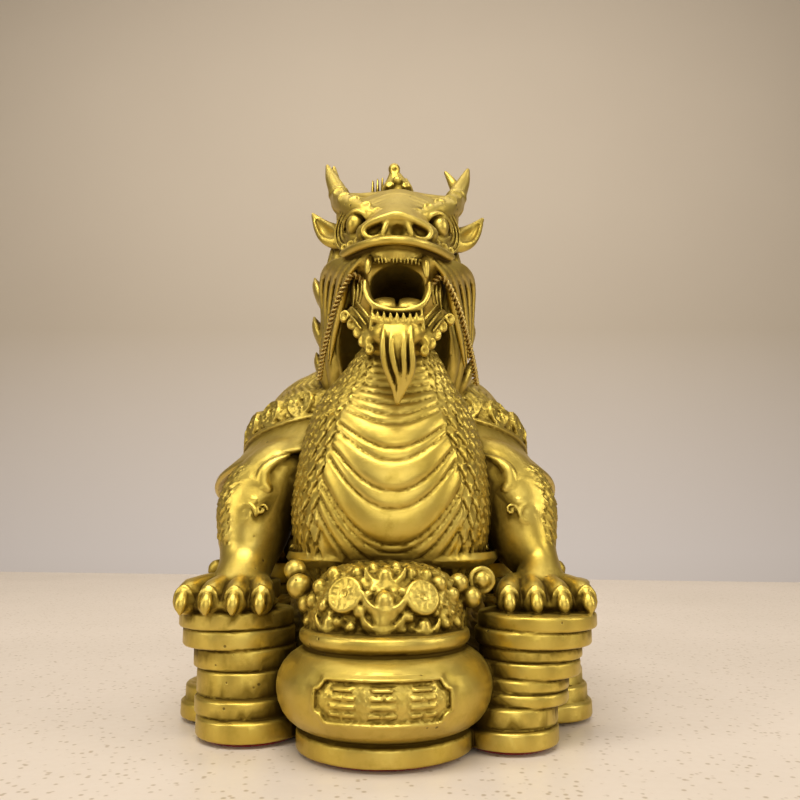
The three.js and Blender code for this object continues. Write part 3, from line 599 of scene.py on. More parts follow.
def jaw_trim():
    """Curls and ridges on the flaps beside the lower jaw, and strands at the mouth's corners"""
    curls = (
        (18.9, -50.0, 102.6, 2.0), (16.2, -52.6, 99.2, 1.7), (13.8, -55.2, 95.6, 1.8),
        (11.7, -58.0, 91.9, 1.9), (9.4, -60.0, 88.6, 1.6),
    )
    shapes = []
    for s in SIDES:
        shapes += curl_row(curls, s, 0.5, 0)
        for k in range(3):
            low = head_at((9.0 + 1.7 * k) * s, -61.8 + 2.0 * k, 98.4 - 1.2 * k)
            high = head_at((14.4 + 1.5 * k) * s, -54.6 + 2.2 * k, 106.8 - 1.6 * k)
            x, y, z = ((a + b) / 2 for a, b in zip(low, high))
            ridge = [(low, 0.45, 0.45), ((x, y - 0.9, z), 0.6, 0.6), (high, 0.35, 0.35)]
            shapes.append(limb(ridge))
        for k in range(3):
            x = 12.0 + 1.4 * k
            y = -56.6 + 1.9 * k
            shapes.append(head_limb([
                (x + 0.6, y + 1.2, 114.4 - 0.6 * k, 0.35), (x + 0.3, y, 110.6 - 0.5 * k, 0.6),
                (x + 0.9, y + 1.0, 106.2 - 0.3 * k, 0.4),
            ], s))
    return shapes


def goatee_shapes():
    """Four long locks that sway to one side and meet in one tip, on a backing"""
    backing = (
        (0.2, -63.4, 96.6, 5.2, 1.8), (0.2, -65.0, 92.0, 5.2, 2.3), (0.2, -65.0, 87.0, 4.6, 2.2),
        (0.2, -63.9, 82.0, 4.2, 2.0), (0.3, -62.4, 78.0, 3.0, 1.7), (0.3, -60.6, 73.6, 1.2, 1.1),
    )
    locks = (
        ((-4.2, -4.7, -4.7, -4.0, -2.5, -1.0, -0.4), (95.8, 91.2, 86.8, 82.4, 78.4, 74.6, 70.2)),
        ((-1.9, -2.0, -1.8, -0.8, 0.5, 0.8, 0.0), (95.8, 91.0, 86.2, 81.8, 78.0, 74.2, 70.0)),
        ((2.4, 2.5, 2.2, 2.5, 2.2, 1.4, 0.2), (95.8, 91.0, 86.2, 81.6, 77.6, 74.0, 69.8)),
        ((5.0, 4.7, 5.0, 5.2, 4.0, 2.2, 0.5), (95.8, 91.0, 86.2, 81.6, 77.6, 74.0, 70.0)),
    )
    reach = (-64.2, -66.6, -67.1, -66.2, -64.6, -62.8, -60.8)
    girth = (0.7, 1.0, 1.15, 1.15, 1.05, 0.85, 0.4)
    shapes = [head_limb(backing)]
    for sway, heights in locks:
        rows = [(x, y, z, r, r * 1.3) for x, y, z, r in zip(sway, reach, heights, girth)]
        shapes.append(head_limb(rows, fine=5))
    return shapes


def eye_shapes():
    """The eyeballs, each with two lids, wrinkles outside it and small curls below"""
    upper_lid = (
        (11.0, -50.6, 138.2, 0.4), (12.4, -50.0, 141.0, 0.8), (15.8, -48.2, 142.6, 1.0),
        (19.0, -44.6, 141.0, 0.8), (20.2, -42.4, 137.6, 0.5),
    )
    lower_lid = (
        (11.4, -50.8, 136.4, 0.3), (13.6, -49.4, 134.0, 0.6), (17.0, -46.4, 133.4, 0.7),
        (20.0, -42.4, 136.0, 0.4),
    )
    curls = ((14.2, -52.6, 129.8, 1.4), (17.0, -49.4, 129.4, 1.6), (19.6, -45.4, 129.6, 1.4))
    shapes = []
    for s in SIDES:
        shapes.append(ball(head_at(15.4 * s, -46.4, 137.9), (3.6, 3.6, 4.1)))
        shapes += [head_limb(lid, s, across=Y) for lid in (upper_lid, lower_lid)]
        for k in range(4):
            reach = 5.0 + 1.5 * k
            wrinkle = []
            for turn in (75, 45, 10, -25, -55, -80):
                x = 15.6 + 0.86 * reach * math.cos(math.radians(turn))
                z = 138.2 + reach * math.sin(math.radians(turn))
                thick = 0.3 if abs(turn) > 70 else 0.62
                wrinkle.append((x, -46.6 + 1.42 * (x - 15.6), z, thick))
            shapes.append(head_limb(wrinkle, s, across=Y, fine=3))
        shapes += curl_row(curls, s, 0.5, 0.3)
    return shapes


def eye_sockets():
    return [ball(head_at(15.0 * s, -49.0, 138.2), (4.7, 3.4, 4.7)) for s in SIDES]


def brow_shapes():
    ridge = (
        (4.4, -53, 138.4, 1.6, 1.4), (8, -50.0, 140.6, 2.4, 2.2), (13, -45.6, 143.8, 3.2),
        (18.4, -38.6, 148.4, 3.6, 4.0), (21.8, -31, 153, 3.6, 4.6), (23.4, -23, 158, 3.2, 4.2),
    )
    curls = (
        (7.4, -51.4, 141.8, 1.6), (11.6, -48.2, 144.9, 2.1), (16.0, -44.0, 148.4, 2.4),
        (20.4, -39.2, 151.6, 2.6), (23.0, -33.2, 156.2, 2.2),
    )
    shapes = []
    for s in SIDES:
        shapes.append(head_limb(ridge, s))
        shapes += curl_row(curls, s, 0.4, 0.45)
        for sag in (0, 1.7):
            shapes.append(head_limb([
                (5.4, -53.4, 139.4 - sag * 0.6, 0.4), (10.4, -50.2, 141.6 - sag, 0.75),
                (15.6, -45.6, 145.0 - sag, 0.8), (20.6, -38.6, 149.4 - sag, 0.75),
                (24.0, -30.0, 153.6 - sag, 0.4),
            ], s))
        shapes.append(ball(head_at(3.1 * s, -54.8, 139.0), 1.7))
    return shapes


def horn_shapes():
    horn = (
        (22.6, -22, 156, 4.2, 4.8), (24.6, -18, 163, 3.7, 3.9), (27.4, -14.5, 170, 2.6),
        (29.4, -12, 176.4, 0.9),
    )
    shapes = []
    for s in SIDES:
        tip, height = (26.8, 176.6) if s < 0 else (20.2, 175.8)
        middle = (tip + 25.4) / 2
        prong = ((25, -15, 164, 2.4), (middle, -12.5, 170.5, 1.9), (tip, -10.5, height, 0.8))
        shapes += [
            head_limb(horn, s),
            hoop(head_at(24.0 * s, -19.4, 161.2), (0.25 * s, 0.5, 1), 3.7, 0.55),
            head_limb(prong, s),
        ]
    return shapes


def ear_shapes():
    lobe = (
        (20.5, -25, 140, 3, 4.6), (26.2, -22, 142.8, 2.6, 5.2), (30.6, -18, 147.4, 2.1, 3.7),
        (35.2, -14, 154.6, 0.5, 0.7),
    )
    tuft = (
        (24.5, -22, 139.6, 2.2, 2.8), (28.2, -19, 141.4, 1.8, 2.2), (30.6, -17.4, 143.6, 1.2, 1.5),
    )
    return [head_limb(part, s, across=Y) for s in SIDES for part in (lobe, tuft)]


def ear_cuts():
    return [
        head_limb([
            (26.4, -26.2, 142.6, 2.0, 2.6), (29.6, -22.4, 145.4, 2.2, 3.0),
            (33.0, -17.4, 151.0, 0.8, 1.2),
        ], s)
        for s in SIDES
    ]


def crest_shapes():
    shapes = [
        head_limb([
            (0.3, -16, 157, 8.5, 6), (0.2, -15, 163, 6.4, 5), (-0.6, -13.5, 169, 4.2, 4),
            (-1.2, -13, 172, 2.8, 3),
        ]),
        ball(head_at(-3.2, -17.5, 165.0), (2.4, 2.2, 2.8)),
        ball(head_at(3.4, -17.5, 164.8), (2.4, 2.2, 2.8)),
        ball(head_at(0, -18.0, 168.0), (2.1, 2.0, 2.3)),
        ball(head_at(-1.4, -13, 175.4), (2.5, 2.5, 2.6)),
        hoop(head_at(-1.2, -15.4, 174.2), (0, -1, 0.1), 1.4, 0.55),
    ]
    for s in SIDES:
        shapes.append(spiral(head_at(3.3 * s, -19.7, 165.4), (0.2 * s, -1, 0.3), 1.7, 1.3, 0.5))
        shapes.append(head_limb([
            (6.2, -15, 161, 1.0, 1.2), (5.4, -15, 166, 1.0, 1.2), (3.6, -14, 170.6, 0.6, 0.8),
        ], s))
    for k in range(3):
        shapes.append(head_limb([
            (-10.4 + 2.0 * k, -11, 160, 0.9, 2.2), (-10.4 + 2.0 * k, -10.6, 166, 0.75, 2.0),
            (-10.4 + 2.0 * k, -10, 171.4 + 0.7 * k, 0.4, 0.6),
        ]))
    return shapes


# Mane


def mane_relief(x, y, z, along, across, front):
    """Strands that run down and outwards"""
    turn = np.arctan2(across, front)
    flow = turn * 9 + np.float32(0.05) * z + 0.8 * np.sin(z * np.float32(0.16) + 2.5 * turn)
    strand = np.abs(np.sin(flow * 1.35))
    return 1.3 * (strand**0.6 - 0.55)


def hood_shapes():
    return [
        head_limb([
            (-1, -14, 150, 19, 12), (-1.3, -13, 141, 24.5, 17), (-1.5, -12, 128, 28, 21),
            (-1.5, -9, 112, 29.5, 23), (-1.8, -5, 98, 30, 24), (-2, 2, 84, 29, 23),
            (-2, 9, 74, 28, 18),
        ], relief=mane_relief)
    ]


def hood_cuts():
    return [
        head_limb([
            (0, -38, 62, 22), (0, -35, 80, 25.5, 24), (-0.5, -34, 96, 25.5, 23),
            (-0.5, -37, 108, 20.5, 18), (0, -42, 115, 10, 9),
        ])
    ]


def cheek_strands():
    """Strands that sweep from under the lip across the cheek and down the edge of the hood"""
    girth = (0.6, 1.3, 1.55, 1.3, 0.4)
    shapes = []
    for s in SIDES:
        for k in range(5):
            start = np.array((12.8 + 1.7 * k, -56.5 + 2.6 * k, 121.8 + 0.9 * k))
            turn = np.array((20.4 + 2.3 * k, -36.5 + 3.9 * k, 113.0 + 2.8 * k))
            low = np.array((24.0 + 1.5 * k, -28.6 + 3.7 * k, 101 + 3.0 * k))
            end = np.array((26.4 + 1.0 * k, -22 + 3.4 * k, 90 + 2.4 * k))
            swell = (start + turn) / 2 + (1.2, -1.8, 0.8)
            path = (start, swell, turn, low, end)
            shapes.append(head_limb([(*p, r, r * 1.25) for p, r in zip(path, girth)], s))
    return shapes


def mane_lock_shapes():
    """Locks that stand off the hood's sides, and rows of locks down its back"""
    tips = {
        -1: ((-34.6, -8, 129.2), (-35.0, -4, 113.6), (-34.2, -1, 99), (-33.4, 3, 85)),
        1: ((31.2, -8, 128.4), (31.8, -4, 112.4), (31.2, -1, 98), (30.4, 3, 84)),
    }
    shapes = []
    for s in SIDES:
        for x, y, z in tips[s]:
            shapes.append(head_limb([
                (x - 7.4 * s, y - 3.5, z - 17, 6.0 * 0.7, 2.6 * 0.7),
                (x - 4.2 * s, y - 2, z - 11, 6.0, 2.6),
                (x - 1.6 * s, y, z - 5, 6.0 * 0.85, 2.6 * 0.85),
                (x, y + 1, z, 6.0 * 0.14, 2.6 * 0.14),
            ], across=Y))
    for row in range(5):
        for place in (-2, -1, 0, 1, 2):
            if row == 0 and abs(place) == 2:
                continue
            x = (9.5 + 0.8 * row) * place + (2.5 if row % 2 else 0)
            drop = abs(place) * 1.5
            y = 3.4 * row - 0.9 * place * place
            shapes.append(head_limb([
                (x * 0.9, -3 + y, 149 - 14 * row - drop, 3.6, 2.6),
                (x * 0.98, 5.5 + y, 142 - 14 * row - drop, 4.8, 3.4),
                (x * 1.04, 11 + y, 133 - 14 * row - drop, 3.8, 3),
                (x * 1.1, 14.5 + y, 124 - 14 * row - drop, 0.6),
            ]))
    return shapes


# Chest

# heights of the grooves between the folds
FOLD_GROOVES = (
    45, 50, 56.5, 61.2, 63.8, 75.8, 81.9, 92.2, 96.6, 105.6, 109.1, 113, 116.8, 119.5, 122, 124.6,
    127.4, 130.4, 133.6, 137, 141, 146,
)


def fold_profile():
    """Heights of the folds up the middle of the breastplate, as two lists for np.interp"""
    places, heights = [], []
    for low, high in zip(FOLD_GROOVES, FOLD_GROOVES[1:]):
        wide = high - low
        swell = min(1.75, 0.13 * wide + 0.5)
        for t in np.linspace(0.02, 0.98, 17):
            places.append(low + wide * t)
            heights.append(swell * math.sqrt(1 - abs(2 * t - 1) ** 3) * (1.1 - 0.25 * t) - 0.6)
    return np.array(places), np.array(heights)


def chest_relief(x, y, z, along, across, front):
    """Folds across the breastplate between columns of scales, the largest ones next to the folds"""

    def by_height(levels, values):
        return np.interp(z.ravel(), levels, values).astype(np.float32)[None, None, :]

    turn = np.arctan2(np.abs(across), front)
    edge = by_height((50, 60, 75, 90, 105, 114, 124), (0.62, 0.68, 0.74, 0.7, 0.6, 0.62, 0.6))
    bend = by_height((60, 95, 110, 120), (0.038, 0.036, 0.022, 0.01))
    off = x - np.float32(2.8)
    level = np.broadcast_to(z - bend * off * off, turn.shape)
    folds = np.interp(level.ravel(), *fold_profile()).reshape(turn.shape).astype(np.float32)
    out = (turn - edge) * 33
    leaf = fish_scales(out / 5.0, z / 11.5, 2.3) + 0.2
    small = fish_scales(out / 4.6, z / 7.0, 1.35)
    neck = fish_scales(out / 5.8 + 0.5, z / 7.4, 1.4)
    sides = np.where(z > 112, neck, np.where(out < 9.6, leaf, small))
    mix = np.clip(out / 0.8 + 0.5, 0, 1)
    return folds * (1 - mix) + sides * mix


def chest_shapes():
    return [
        body_limb([
            (1.5, -21, 10, 22, 17), (1.5, -22, 18, 31.5, 27), (1.5, -23, 30, 37, 33.5),
            (2, -23, 46, 36, 33.5), (2, -23, 60, 32.5, 29), (3, -26, 72, 25.5, 21.5),
            (4, -30, 84, 18, 16), (4, -31, 91, 14.0, 11),
        ], fine=5, relief=chest_relief)
    ]


def ledge_shapes():
    profile = [(0, 5), (24, 8), (38.6, 14.6), (40.2, 16.8), (39.2, 19.4), (24, 14), (0, 13)]
    return [turned(profile, at(2, -19, 0), squash=0.88)]


# Shell

SHELL_TIP = math.radians(-17)
SHELL_MIDDLE = at(-1.5, 33, 57)
DOME = (60, 50, 46)
SHELL_SQUASH = DOME[1] / DOME[0]


def on_shell(shape):
    return tilted(shape, SHELL_MIDDLE, SHELL_TIP)


def dome_shape():
    rx, ry, rz = DOME

    def distance(x, y, z):
        px, py = x / rx, y / ry
        pz = np.where(z < 0, z / (rz * 0.72), z / rz)
        k0 = np.sqrt(px**2 + py**2 + pz**2)
        k1 = np.sqrt((px / rx) ** 2 + (py / ry) ** 2 + (pz / rz) ** 2)
        base = k0 * (k0 - 1) / np.maximum(k1, 1e-4)
        edge = hexagons(x / 21, y / 21 + 0.5) * 21
        plate = np.clip(edge / 1.1, 0, 1) * 1.9 + np.clip(edge - 1.1, 0, 5) * 0.22
        top = np.clip((z - 10) / 4, 0, 1)
        # the front of the dome is chased with fine feathers in place of plates
        fore = np.clip((-y - 14) / 8, 0, 1)
        sway = 2.2 * np.sin(z * np.float32(0.5) + x * np.float32(0.1))
        feather = np.abs(np.sin(np.arctan2(x, -y) * 34 + sway))
        feather = 0.5 + 0.9 * feather**0.7
        return base - top * ((1 - fore) * plate + fore * feather - 1.4 + 0.3 * fore)

    return Shape((-rx - 2, -ry - 2, -rz * 0.72 - 1), (rx + 2, ry + 2, rz + 2), distance)


def border_relief(a, b, h, rho):
    """Coins with rims, and fine curls between them, round the shell's border"""
    turn = np.arctan2(b, a)
    count = 22
    step = 2 * math.pi / count
    local = (fract(turn / step) - 0.5) * step * 61
    up = h - 8.2
    d = np.hypot(local, up)
    coin = np.where(d < 6.4, 0.9, 0.0) + 0.7 * np.exp(-(((d - 5.6) / 0.55) ** 2))
    hole = (np.abs(local) < 1.5) & (np.abs(up) < 1.5)
    coin = np.where(hole, -0.2, coin)
    strokes = 0.35 * np.sin(local * 3.2) * np.sin(up * 3.2)
    curls = 0.55 * np.sin(local * 1.5 + 1.2 * np.sin(up * 1.7)) * np.cos(up * 1.6)
    outer = np.clip((rho - 54) / 3, 0, 1)
    return outer * np.where(d < 6.4, coin + np.where(d < 4.8, strokes, 0), curls)


def shell_shapes():
    border = [(49, 0), (60.5, 0), (62.6, 3), (63, 8), (61.5, 12.5), (57, 16), (48, 16)]
    skirt = [
        (48, -6), (60, -7.6), (68.6, -14.4), (73.4, -18), (74.9, -17), (74.6, -15.4), (67, -7.4),
        (61.5, 1.6), (50, 6),
    ]
    rim = [(58, 0.2), (62.6, -0.4), (64.2, 0.8), (63.4, 2.4), (58, 3)]
    return [
        on_shell(dome_shape()),
        on_shell(turned(border, squash=SHELL_SQUASH, relief=border_relief)),
        *(on_shell(turned(profile, squash=SHELL_SQUASH)) for profile in (skirt, rim)),
    ]


# Legs


def fur_relief(side):
    """Flame-shaped hair on the outer side of an elbow, none on the inner side"""

    def relief(x, y, z, along, across, front):
        u = y * np.float32(0.30) + 0.35 * np.sin(z * np.float32(0.35))
        v = z * np.float32(0.155)
        hair = fish_scales(u, v, 1.2) + 0.25 * np.sin((y + 0.4 * z) * np.float32(3.4))
        outside = np.clip((across * side - 0.42) / 0.16, 0, 1)
        level = np.clip((z - (STACK_TOP + 20)) / 4, 0, 1) * np.clip((STACK_TOP + 53 - z) / 3, 0, 1)
        return hair * outside * level

    return relief


def toe_shapes(x, y, z):
    """A pad and four toes in a row, each with a claw and a fold of skin round it"""
    shapes = [ball(at(x, y + 5, z + 2.6), (17.0, 13.5, 4.2))]
    for place in (-1.5, -0.5, 0.5, 1.5):
        spread = place * 8.3
        y_here = y + abs(place) * 1.7
        root = x + spread * 1.04
        toe = (
            (x + spread * 0.7, 12, 7.2, 4.6), (x + spread * 0.88, 4, 7.0, 4.3),
            (x + spread, -3, 5.9, 4.2, 4.6), (x + spread * 1.03, -7.2, 3.0, 3.9, 3.8),
        )
        fold = (
            (root - 3.4, -8.4, 3.4, 0.3), (root - 2.4, -9.2, 6.6, 0.75), (root, -8.8, 8.7, 0.85),
            (root + 2.4, -9.2, 6.6, 0.75), (root + 3.4, -8.4, 3.4, 0.3),
        )
        claw = (
            (root, -8.8, 7.8, 0.4, 0.5), (x + spread * 1.05, -10.6, 5.4, 1.8, 1.6),
            (x + spread * 1.06, -11.8, 3.0, 2.1, 1.7), (x + spread * 1.06, -12.0, 0.9, 1.1, 1.0),
            (x + spread * 1.06, -11.8, -0.2, 0.4, 0.5),
        )
        for part, across in ((toe, X), (fold, Y), (claw, X)):
            rows = [(a, y_here + b, z + c, *girth) for a, b, c, *girth in part]
            shapes.append(body_limb(rows, across=across))
    return shapes


def curl_strip(points, radius, pitch):
    """A roped strip: small slanting beads along a curve"""
    path, run = measured(points, 400)
    count = int(run[-1] / pitch)
    spots = [path[np.searchsorted(run, (k + 0.5) * run[-1] / count)] for k in range(count)]
    return [ball(p, (radius, radius * 0.8, radius)) for p in spots]


def spiral(centre, facing, size, turns=1.6, thick=0.9):
    u, v, w = frame_of(facing)
    stations = []
    for k in range(15):
        share = k / 14
        angle = 2 * math.pi * turns * share
        r = size * (1 - 0.85 * share)
        p = np.array(centre) + u * r * math.cos(angle) + v * r * math.sin(angle)
        stations.append((tuple(p), thick, thick))
    return limb(stations, across=tuple(w), fine=2)


def front_leg_shapes(s):
    """An arm, the scroll over its elbow, a roped strip below and three spirals, and the paw"""
    wrist, slim = (52.5, 9.8) if s < 0 else (56.4, 8.0)
    arm = (
        (32, -6, 52, 10, 12), (41.5, -11, 48, 14, 14.5), (49.6, -14.5, 37, 15.4, 16),
        (51.2, -17.5, 27, 13.6, 14.5), ((wrist + 51.6) / 2, -21.5, 19, (slim + 12) / 2, 11.5),
        (wrist, -27, 12.5, slim, 9.5), ((wrist + 54) / 2, -36, 5, 10.5, 8.5),
    )
    scroll = (
        (37.5, -23.6, 55.0, 0.6), (42.4, -25.4, 52.8, 1.7, 1.2), (46.0, -27.2, 49.0, 2.4, 1.5),
        (46.2, -28.4, 44.6, 2.2, 1.4), (44.0, -28.9, 42.0, 1.4, 1.0),
    )
    branch = (
        (47.0, -28.4, 43.0, 1.2, 0.9), (51.2, -27.4, 45.0, 1.5, 1.0), (56.0, -24.4, 44.2, 1.3, 1.0),
        (60.0, -20.4, 41.2, 0.8, 0.7),
    )
    rope = ((48.0, -30.4, 37.6), (54.2, -28.4, 38.2), (59.8, -23.4, 35.6), (63.4, -16, 31))
    return [
        body_limb(arm, s, fine=5, relief=fur_relief(s)),
        body_limb(scroll, s),
        body_limb(branch, s, across=Z),
        *curl_strip([at(x * s, y, z) for x, y, z in rope], 1.3, 1.7),
        spiral(at(52.2 * s, -30.8, 32.6), (0.3 * s, -1, 0.1), 4.4, 1.6, 0.75),
        spiral(at(58.6 * s, -26.4, 29.8), (0.8 * s, -1, 0.1), 3.2, 1.4, 0.65),
        spiral(at(46.0 * s, -31.4, 34.4), (0.1 * s, -1, 0.1), 2.2, 1.2, 0.55),
        *toe_shapes(54.6 * s, -48, 0),
    ]


def hind_leg_shapes(s):
    rise = 11.5
    thigh = body_limb([
        (36, 58, 42, 12), (47, 54, 40, 16, 18), (53, 50, 30, 15, 18), (54, 52, rise + 12, 11, 13),
        (54, 50, rise + 5, 12),
    ], s, relief=fur_relief(s))
    return [thigh, *toe_shapes(54 * s, 37, rise)]


def tail_shapes():
    shapes = [
        body_limb([
            (-2, 66, 38, 12, 11), (-2, 78, 38, 9), (2, 84.5, 46, 6.5), (8, 84, 58, 5),
            (8, 79, 68, 3.4), (3, 78, 72, 1),
        ])
    ]
    for row in range(5):
        shapes.append(body_limb([
            (4 + row, 83.5 - row, 46 + 5 * row, 2.6, 2.2),
            (8.5 + 0.8 * row, 86.5 - row, 51 + 5.4 * row, 2.2, 1.8),
            (12.6 + 0.5 * row, 88 - row, 58 + 5.8 * row, 0.5),
        ]))
    return shapes


# Coins, bowl and treasure


def stack_shapes():
    """The front stacks, each coin a little out of line with the next, and the hind stacks"""
    left = (
        (0.0, 6.7, -46.0, -43.5, 18.4), (6.7, 12.6, -47.8, -42.0, 17.5),
        (12.6, 21.2, -48.2, -40.0, 17.0), (21.2, 28.2, -49.2, -38.6, 17.6),
        (28.2, 34.4, -51.8, -37.4, 19.5), (34.4, 40.2, -53.0, -36.8, 20.0),
    )
    right = (
        (0.0, 5.9, 40.6, -54.0, 16.4), (5.9, 12.2, 41.4, -52.6, 15.6),
        (12.2, 16.3, 45.0, -51.2, 16.0), (16.3, 20.4, 45.6, -50.0, 16.0),
        (20.4, 25.6, 48.6, -48.8, 17.0), (25.6, 29.8, 49.2, -47.6, 17.4),
        (29.8, 35.2, 50.4, -46.4, 19.8), (35.2, 40.2, 52.2, -46.0, 20.2),
    )
    shapes = []
    for low, high, x, y, radius in left + right:
        middle = (x, y, BASE + (low + high) / 2)
        shapes.append(drum(middle, Z, radius, high - low - 0.1, edge=1.0, wobble=0.12))
        shapes.append(drum(middle, Z, radius - 1.6, high - low + 0.4, edge=0.3))
    thickness = HIND_STACK_HEIGHT / 6
    for s in SIDES:
        for k in range(6):
            inset = (5 - k) / 5 * 8
            reach = 20 if k >= 4 else 20 * (0.86 - 0.05 * math.sin(2.1 * k))
            x, y = (HALF_SPACING - inset) * s, 44 + 0.8 * math.cos(1.7 * k)
            middle = (x, y, BASE + (k + 0.5) * thickness)
            shapes.append(drum(middle, Z, reach - 0.15, thickness - 0.12, edge=0.8))
    return shapes


def coin_relief(radius, rim=0.9, raised=0.35):
    """A rim, a square hole and four rows of short strokes, on both faces"""
    size = 0.17 * radius
    pitch = 9 / radius * 2.4

    def relief(a, b, h, rho):
        edge = raised * np.exp(-(((rho - (radius - rim)) / (0.5 * rim)) ** 2))
        square = np.maximum(np.abs(a), np.abs(b))
        lip = raised * np.exp(-(((square - size * 1.35) / (size * 0.4)) ** 2))
        hole = np.where(square < size, -raised, 0)
        band = (rho < radius - 1.6 * rim) & (square > size * 1.9)
        rows = np.where(np.abs(a) > np.abs(b), np.sin(b * pitch), np.sin(a * pitch))
        marks = np.where(band & (rows > 0.1), raised * 0.7, 0)
        return edge + lip + hole + marks

    return relief


BOWL = (0.0, -58.0)


def bowl_relief(x, b, h, rho):
    """The lobed panel on the bowl's front: a rim, a pitted ground and rows of short strokes"""
    height = h - 19.6
    tall, half = 5.9, 20.0
    edge = np.maximum(np.abs(x) - half, np.abs(height) - tall)
    notch = 3.4 - np.hypot(np.abs(x) - half - 0.4, np.abs(height) - tall - 0.4)
    edge = np.maximum(edge, notch)
    front = (b < 0) & (rho > 24)
    rim = 0.7 * np.exp(-(((edge - 0.3) / 0.7) ** 2))
    sunk = -0.95 * np.clip(-edge / 0.6, 0, 1)
    wave = np.sin(x * 3.7 + 0.6 * np.sin(height * 2.1))
    pits = 0.3 * wave * np.sin(height * 3.7 + 0.6 * np.sin(x * 1.9))
    bars = (
        (3.5, 3.0, 0.0), (1.2, 1.9, -1.7), (1.2, 1.5, 2.3), (-1.1, 3.8, 0.0), (-3.4, 1.8, -2.2),
        (-3.4, 1.8, 2.2),
    )
    strokes = np.zeros(np.broadcast_shapes(x.shape, height.shape), np.float32)
    for centre in (-11.8, 0.0, 11.8):
        for level, wide, shift in bars:
            bar = np.maximum(np.abs(x - centre - shift) - wide, np.abs(height - level) - 0.5)
            strokes = np.maximum(strokes, np.clip(0.5 - bar / 0.5, 0, 1))
    return np.where(front, rim + sunk + np.where(edge < 0, np.maximum(pits, strokes), 0), 0)


def bowl_shapes():
    profile = [
        (0, 0), (28.1, 0), (28.5, 0.4), (28.5, 5.0), (28.0, 5.9), (26.6, 6.5), (27.4, 7.0),
        (29.4, 8.0), (31.5, 9.7), (33.2, 12.0), (34.4, 14.8), (35.0, 18.0), (35.0, 20.0),
        (34.5, 22.8), (33.2, 25.4), (31.2, 27.8), (28.6, 29.6), (26.6, 30.5), (26.0, 31.2),
        (26.9, 32.0), (27.8, 33.0), (28.0, 34.4), (27.7, 35.8), (26.6, 36.5), (0, 36.5),
    ]
    return [turned(profile, (*BOWL, BASE), relief=bowl_relief)]


MOUND_RADIUS = 26.5
MOUND_HEIGHT = 21.7
MOUND = (0.0, -55.0, 36.8)


def mound_reach(up):
    return MOUND_RADIUS * np.cbrt(np.maximum(0, 1 - (up / MOUND_HEIGHT) ** 3))


def on_mound(x, z, sunk=0.0):
    reach = float(mound_reach(max(0.0, z - MOUND[2]))) - sunk
    back = 0.86 * math.sqrt(max(0.0, reach**2 - x**2))
    return (x, MOUND[1] - back, z)


def ingot_shapes(centre, length, angle=0.0, lean=0.0):
    """A boat-shaped ingot: its hull, the rim along it, a foot and the round crown"""
    half = length / 2
    ca, sa = math.cos(angle), math.sin(angle)

    def put(along, up, forward=0.0):
        x, y = half * along, -forward
        place = (x * ca - y * sa, x * sa + y * ca - lean * up * half, half * up)
        return tuple(c + p for c, p in zip(centre, place))

    ends = ((1.0, 0.5, 0.08), (0.8, 0.12, 0.22), (0.45, -0.16, 0.32))
    crescent = mirrored(ends, (0, -0.27, 0.36))
    hull = [(put(a, u - 0.1), half * g, half * g) for a, u, g in crescent]
    wire = half * 0.085
    rim = [(put(a, u, half * 0.4 * (1 - a * a)), wire, wire) for a, u, _ in crescent]
    levels = ((-0.3, 0.66, 0.5), (-0.62, 0.62, 0.48), (-0.8, 0.5, 0.4))
    foot = [(put(0, up), half * wide, half * deep) for up, wide, deep in levels]
    return [
        limb(hull, across=(-sa, ca, 0)),
        limb(rim, across=(-sa, ca, 0)),
        limb(foot, across=(ca, sa, 0), fine=3),
        ball(put(0, 0.12), half * 0.46),
    ]


def heap_coin(x, z, facing, radius=5.8, sunk=0.2, thick=3.4):
    spot = on_mound(x, z, sunk)
    return drum(spot, facing, radius, thick, relief=coin_relief(radius))


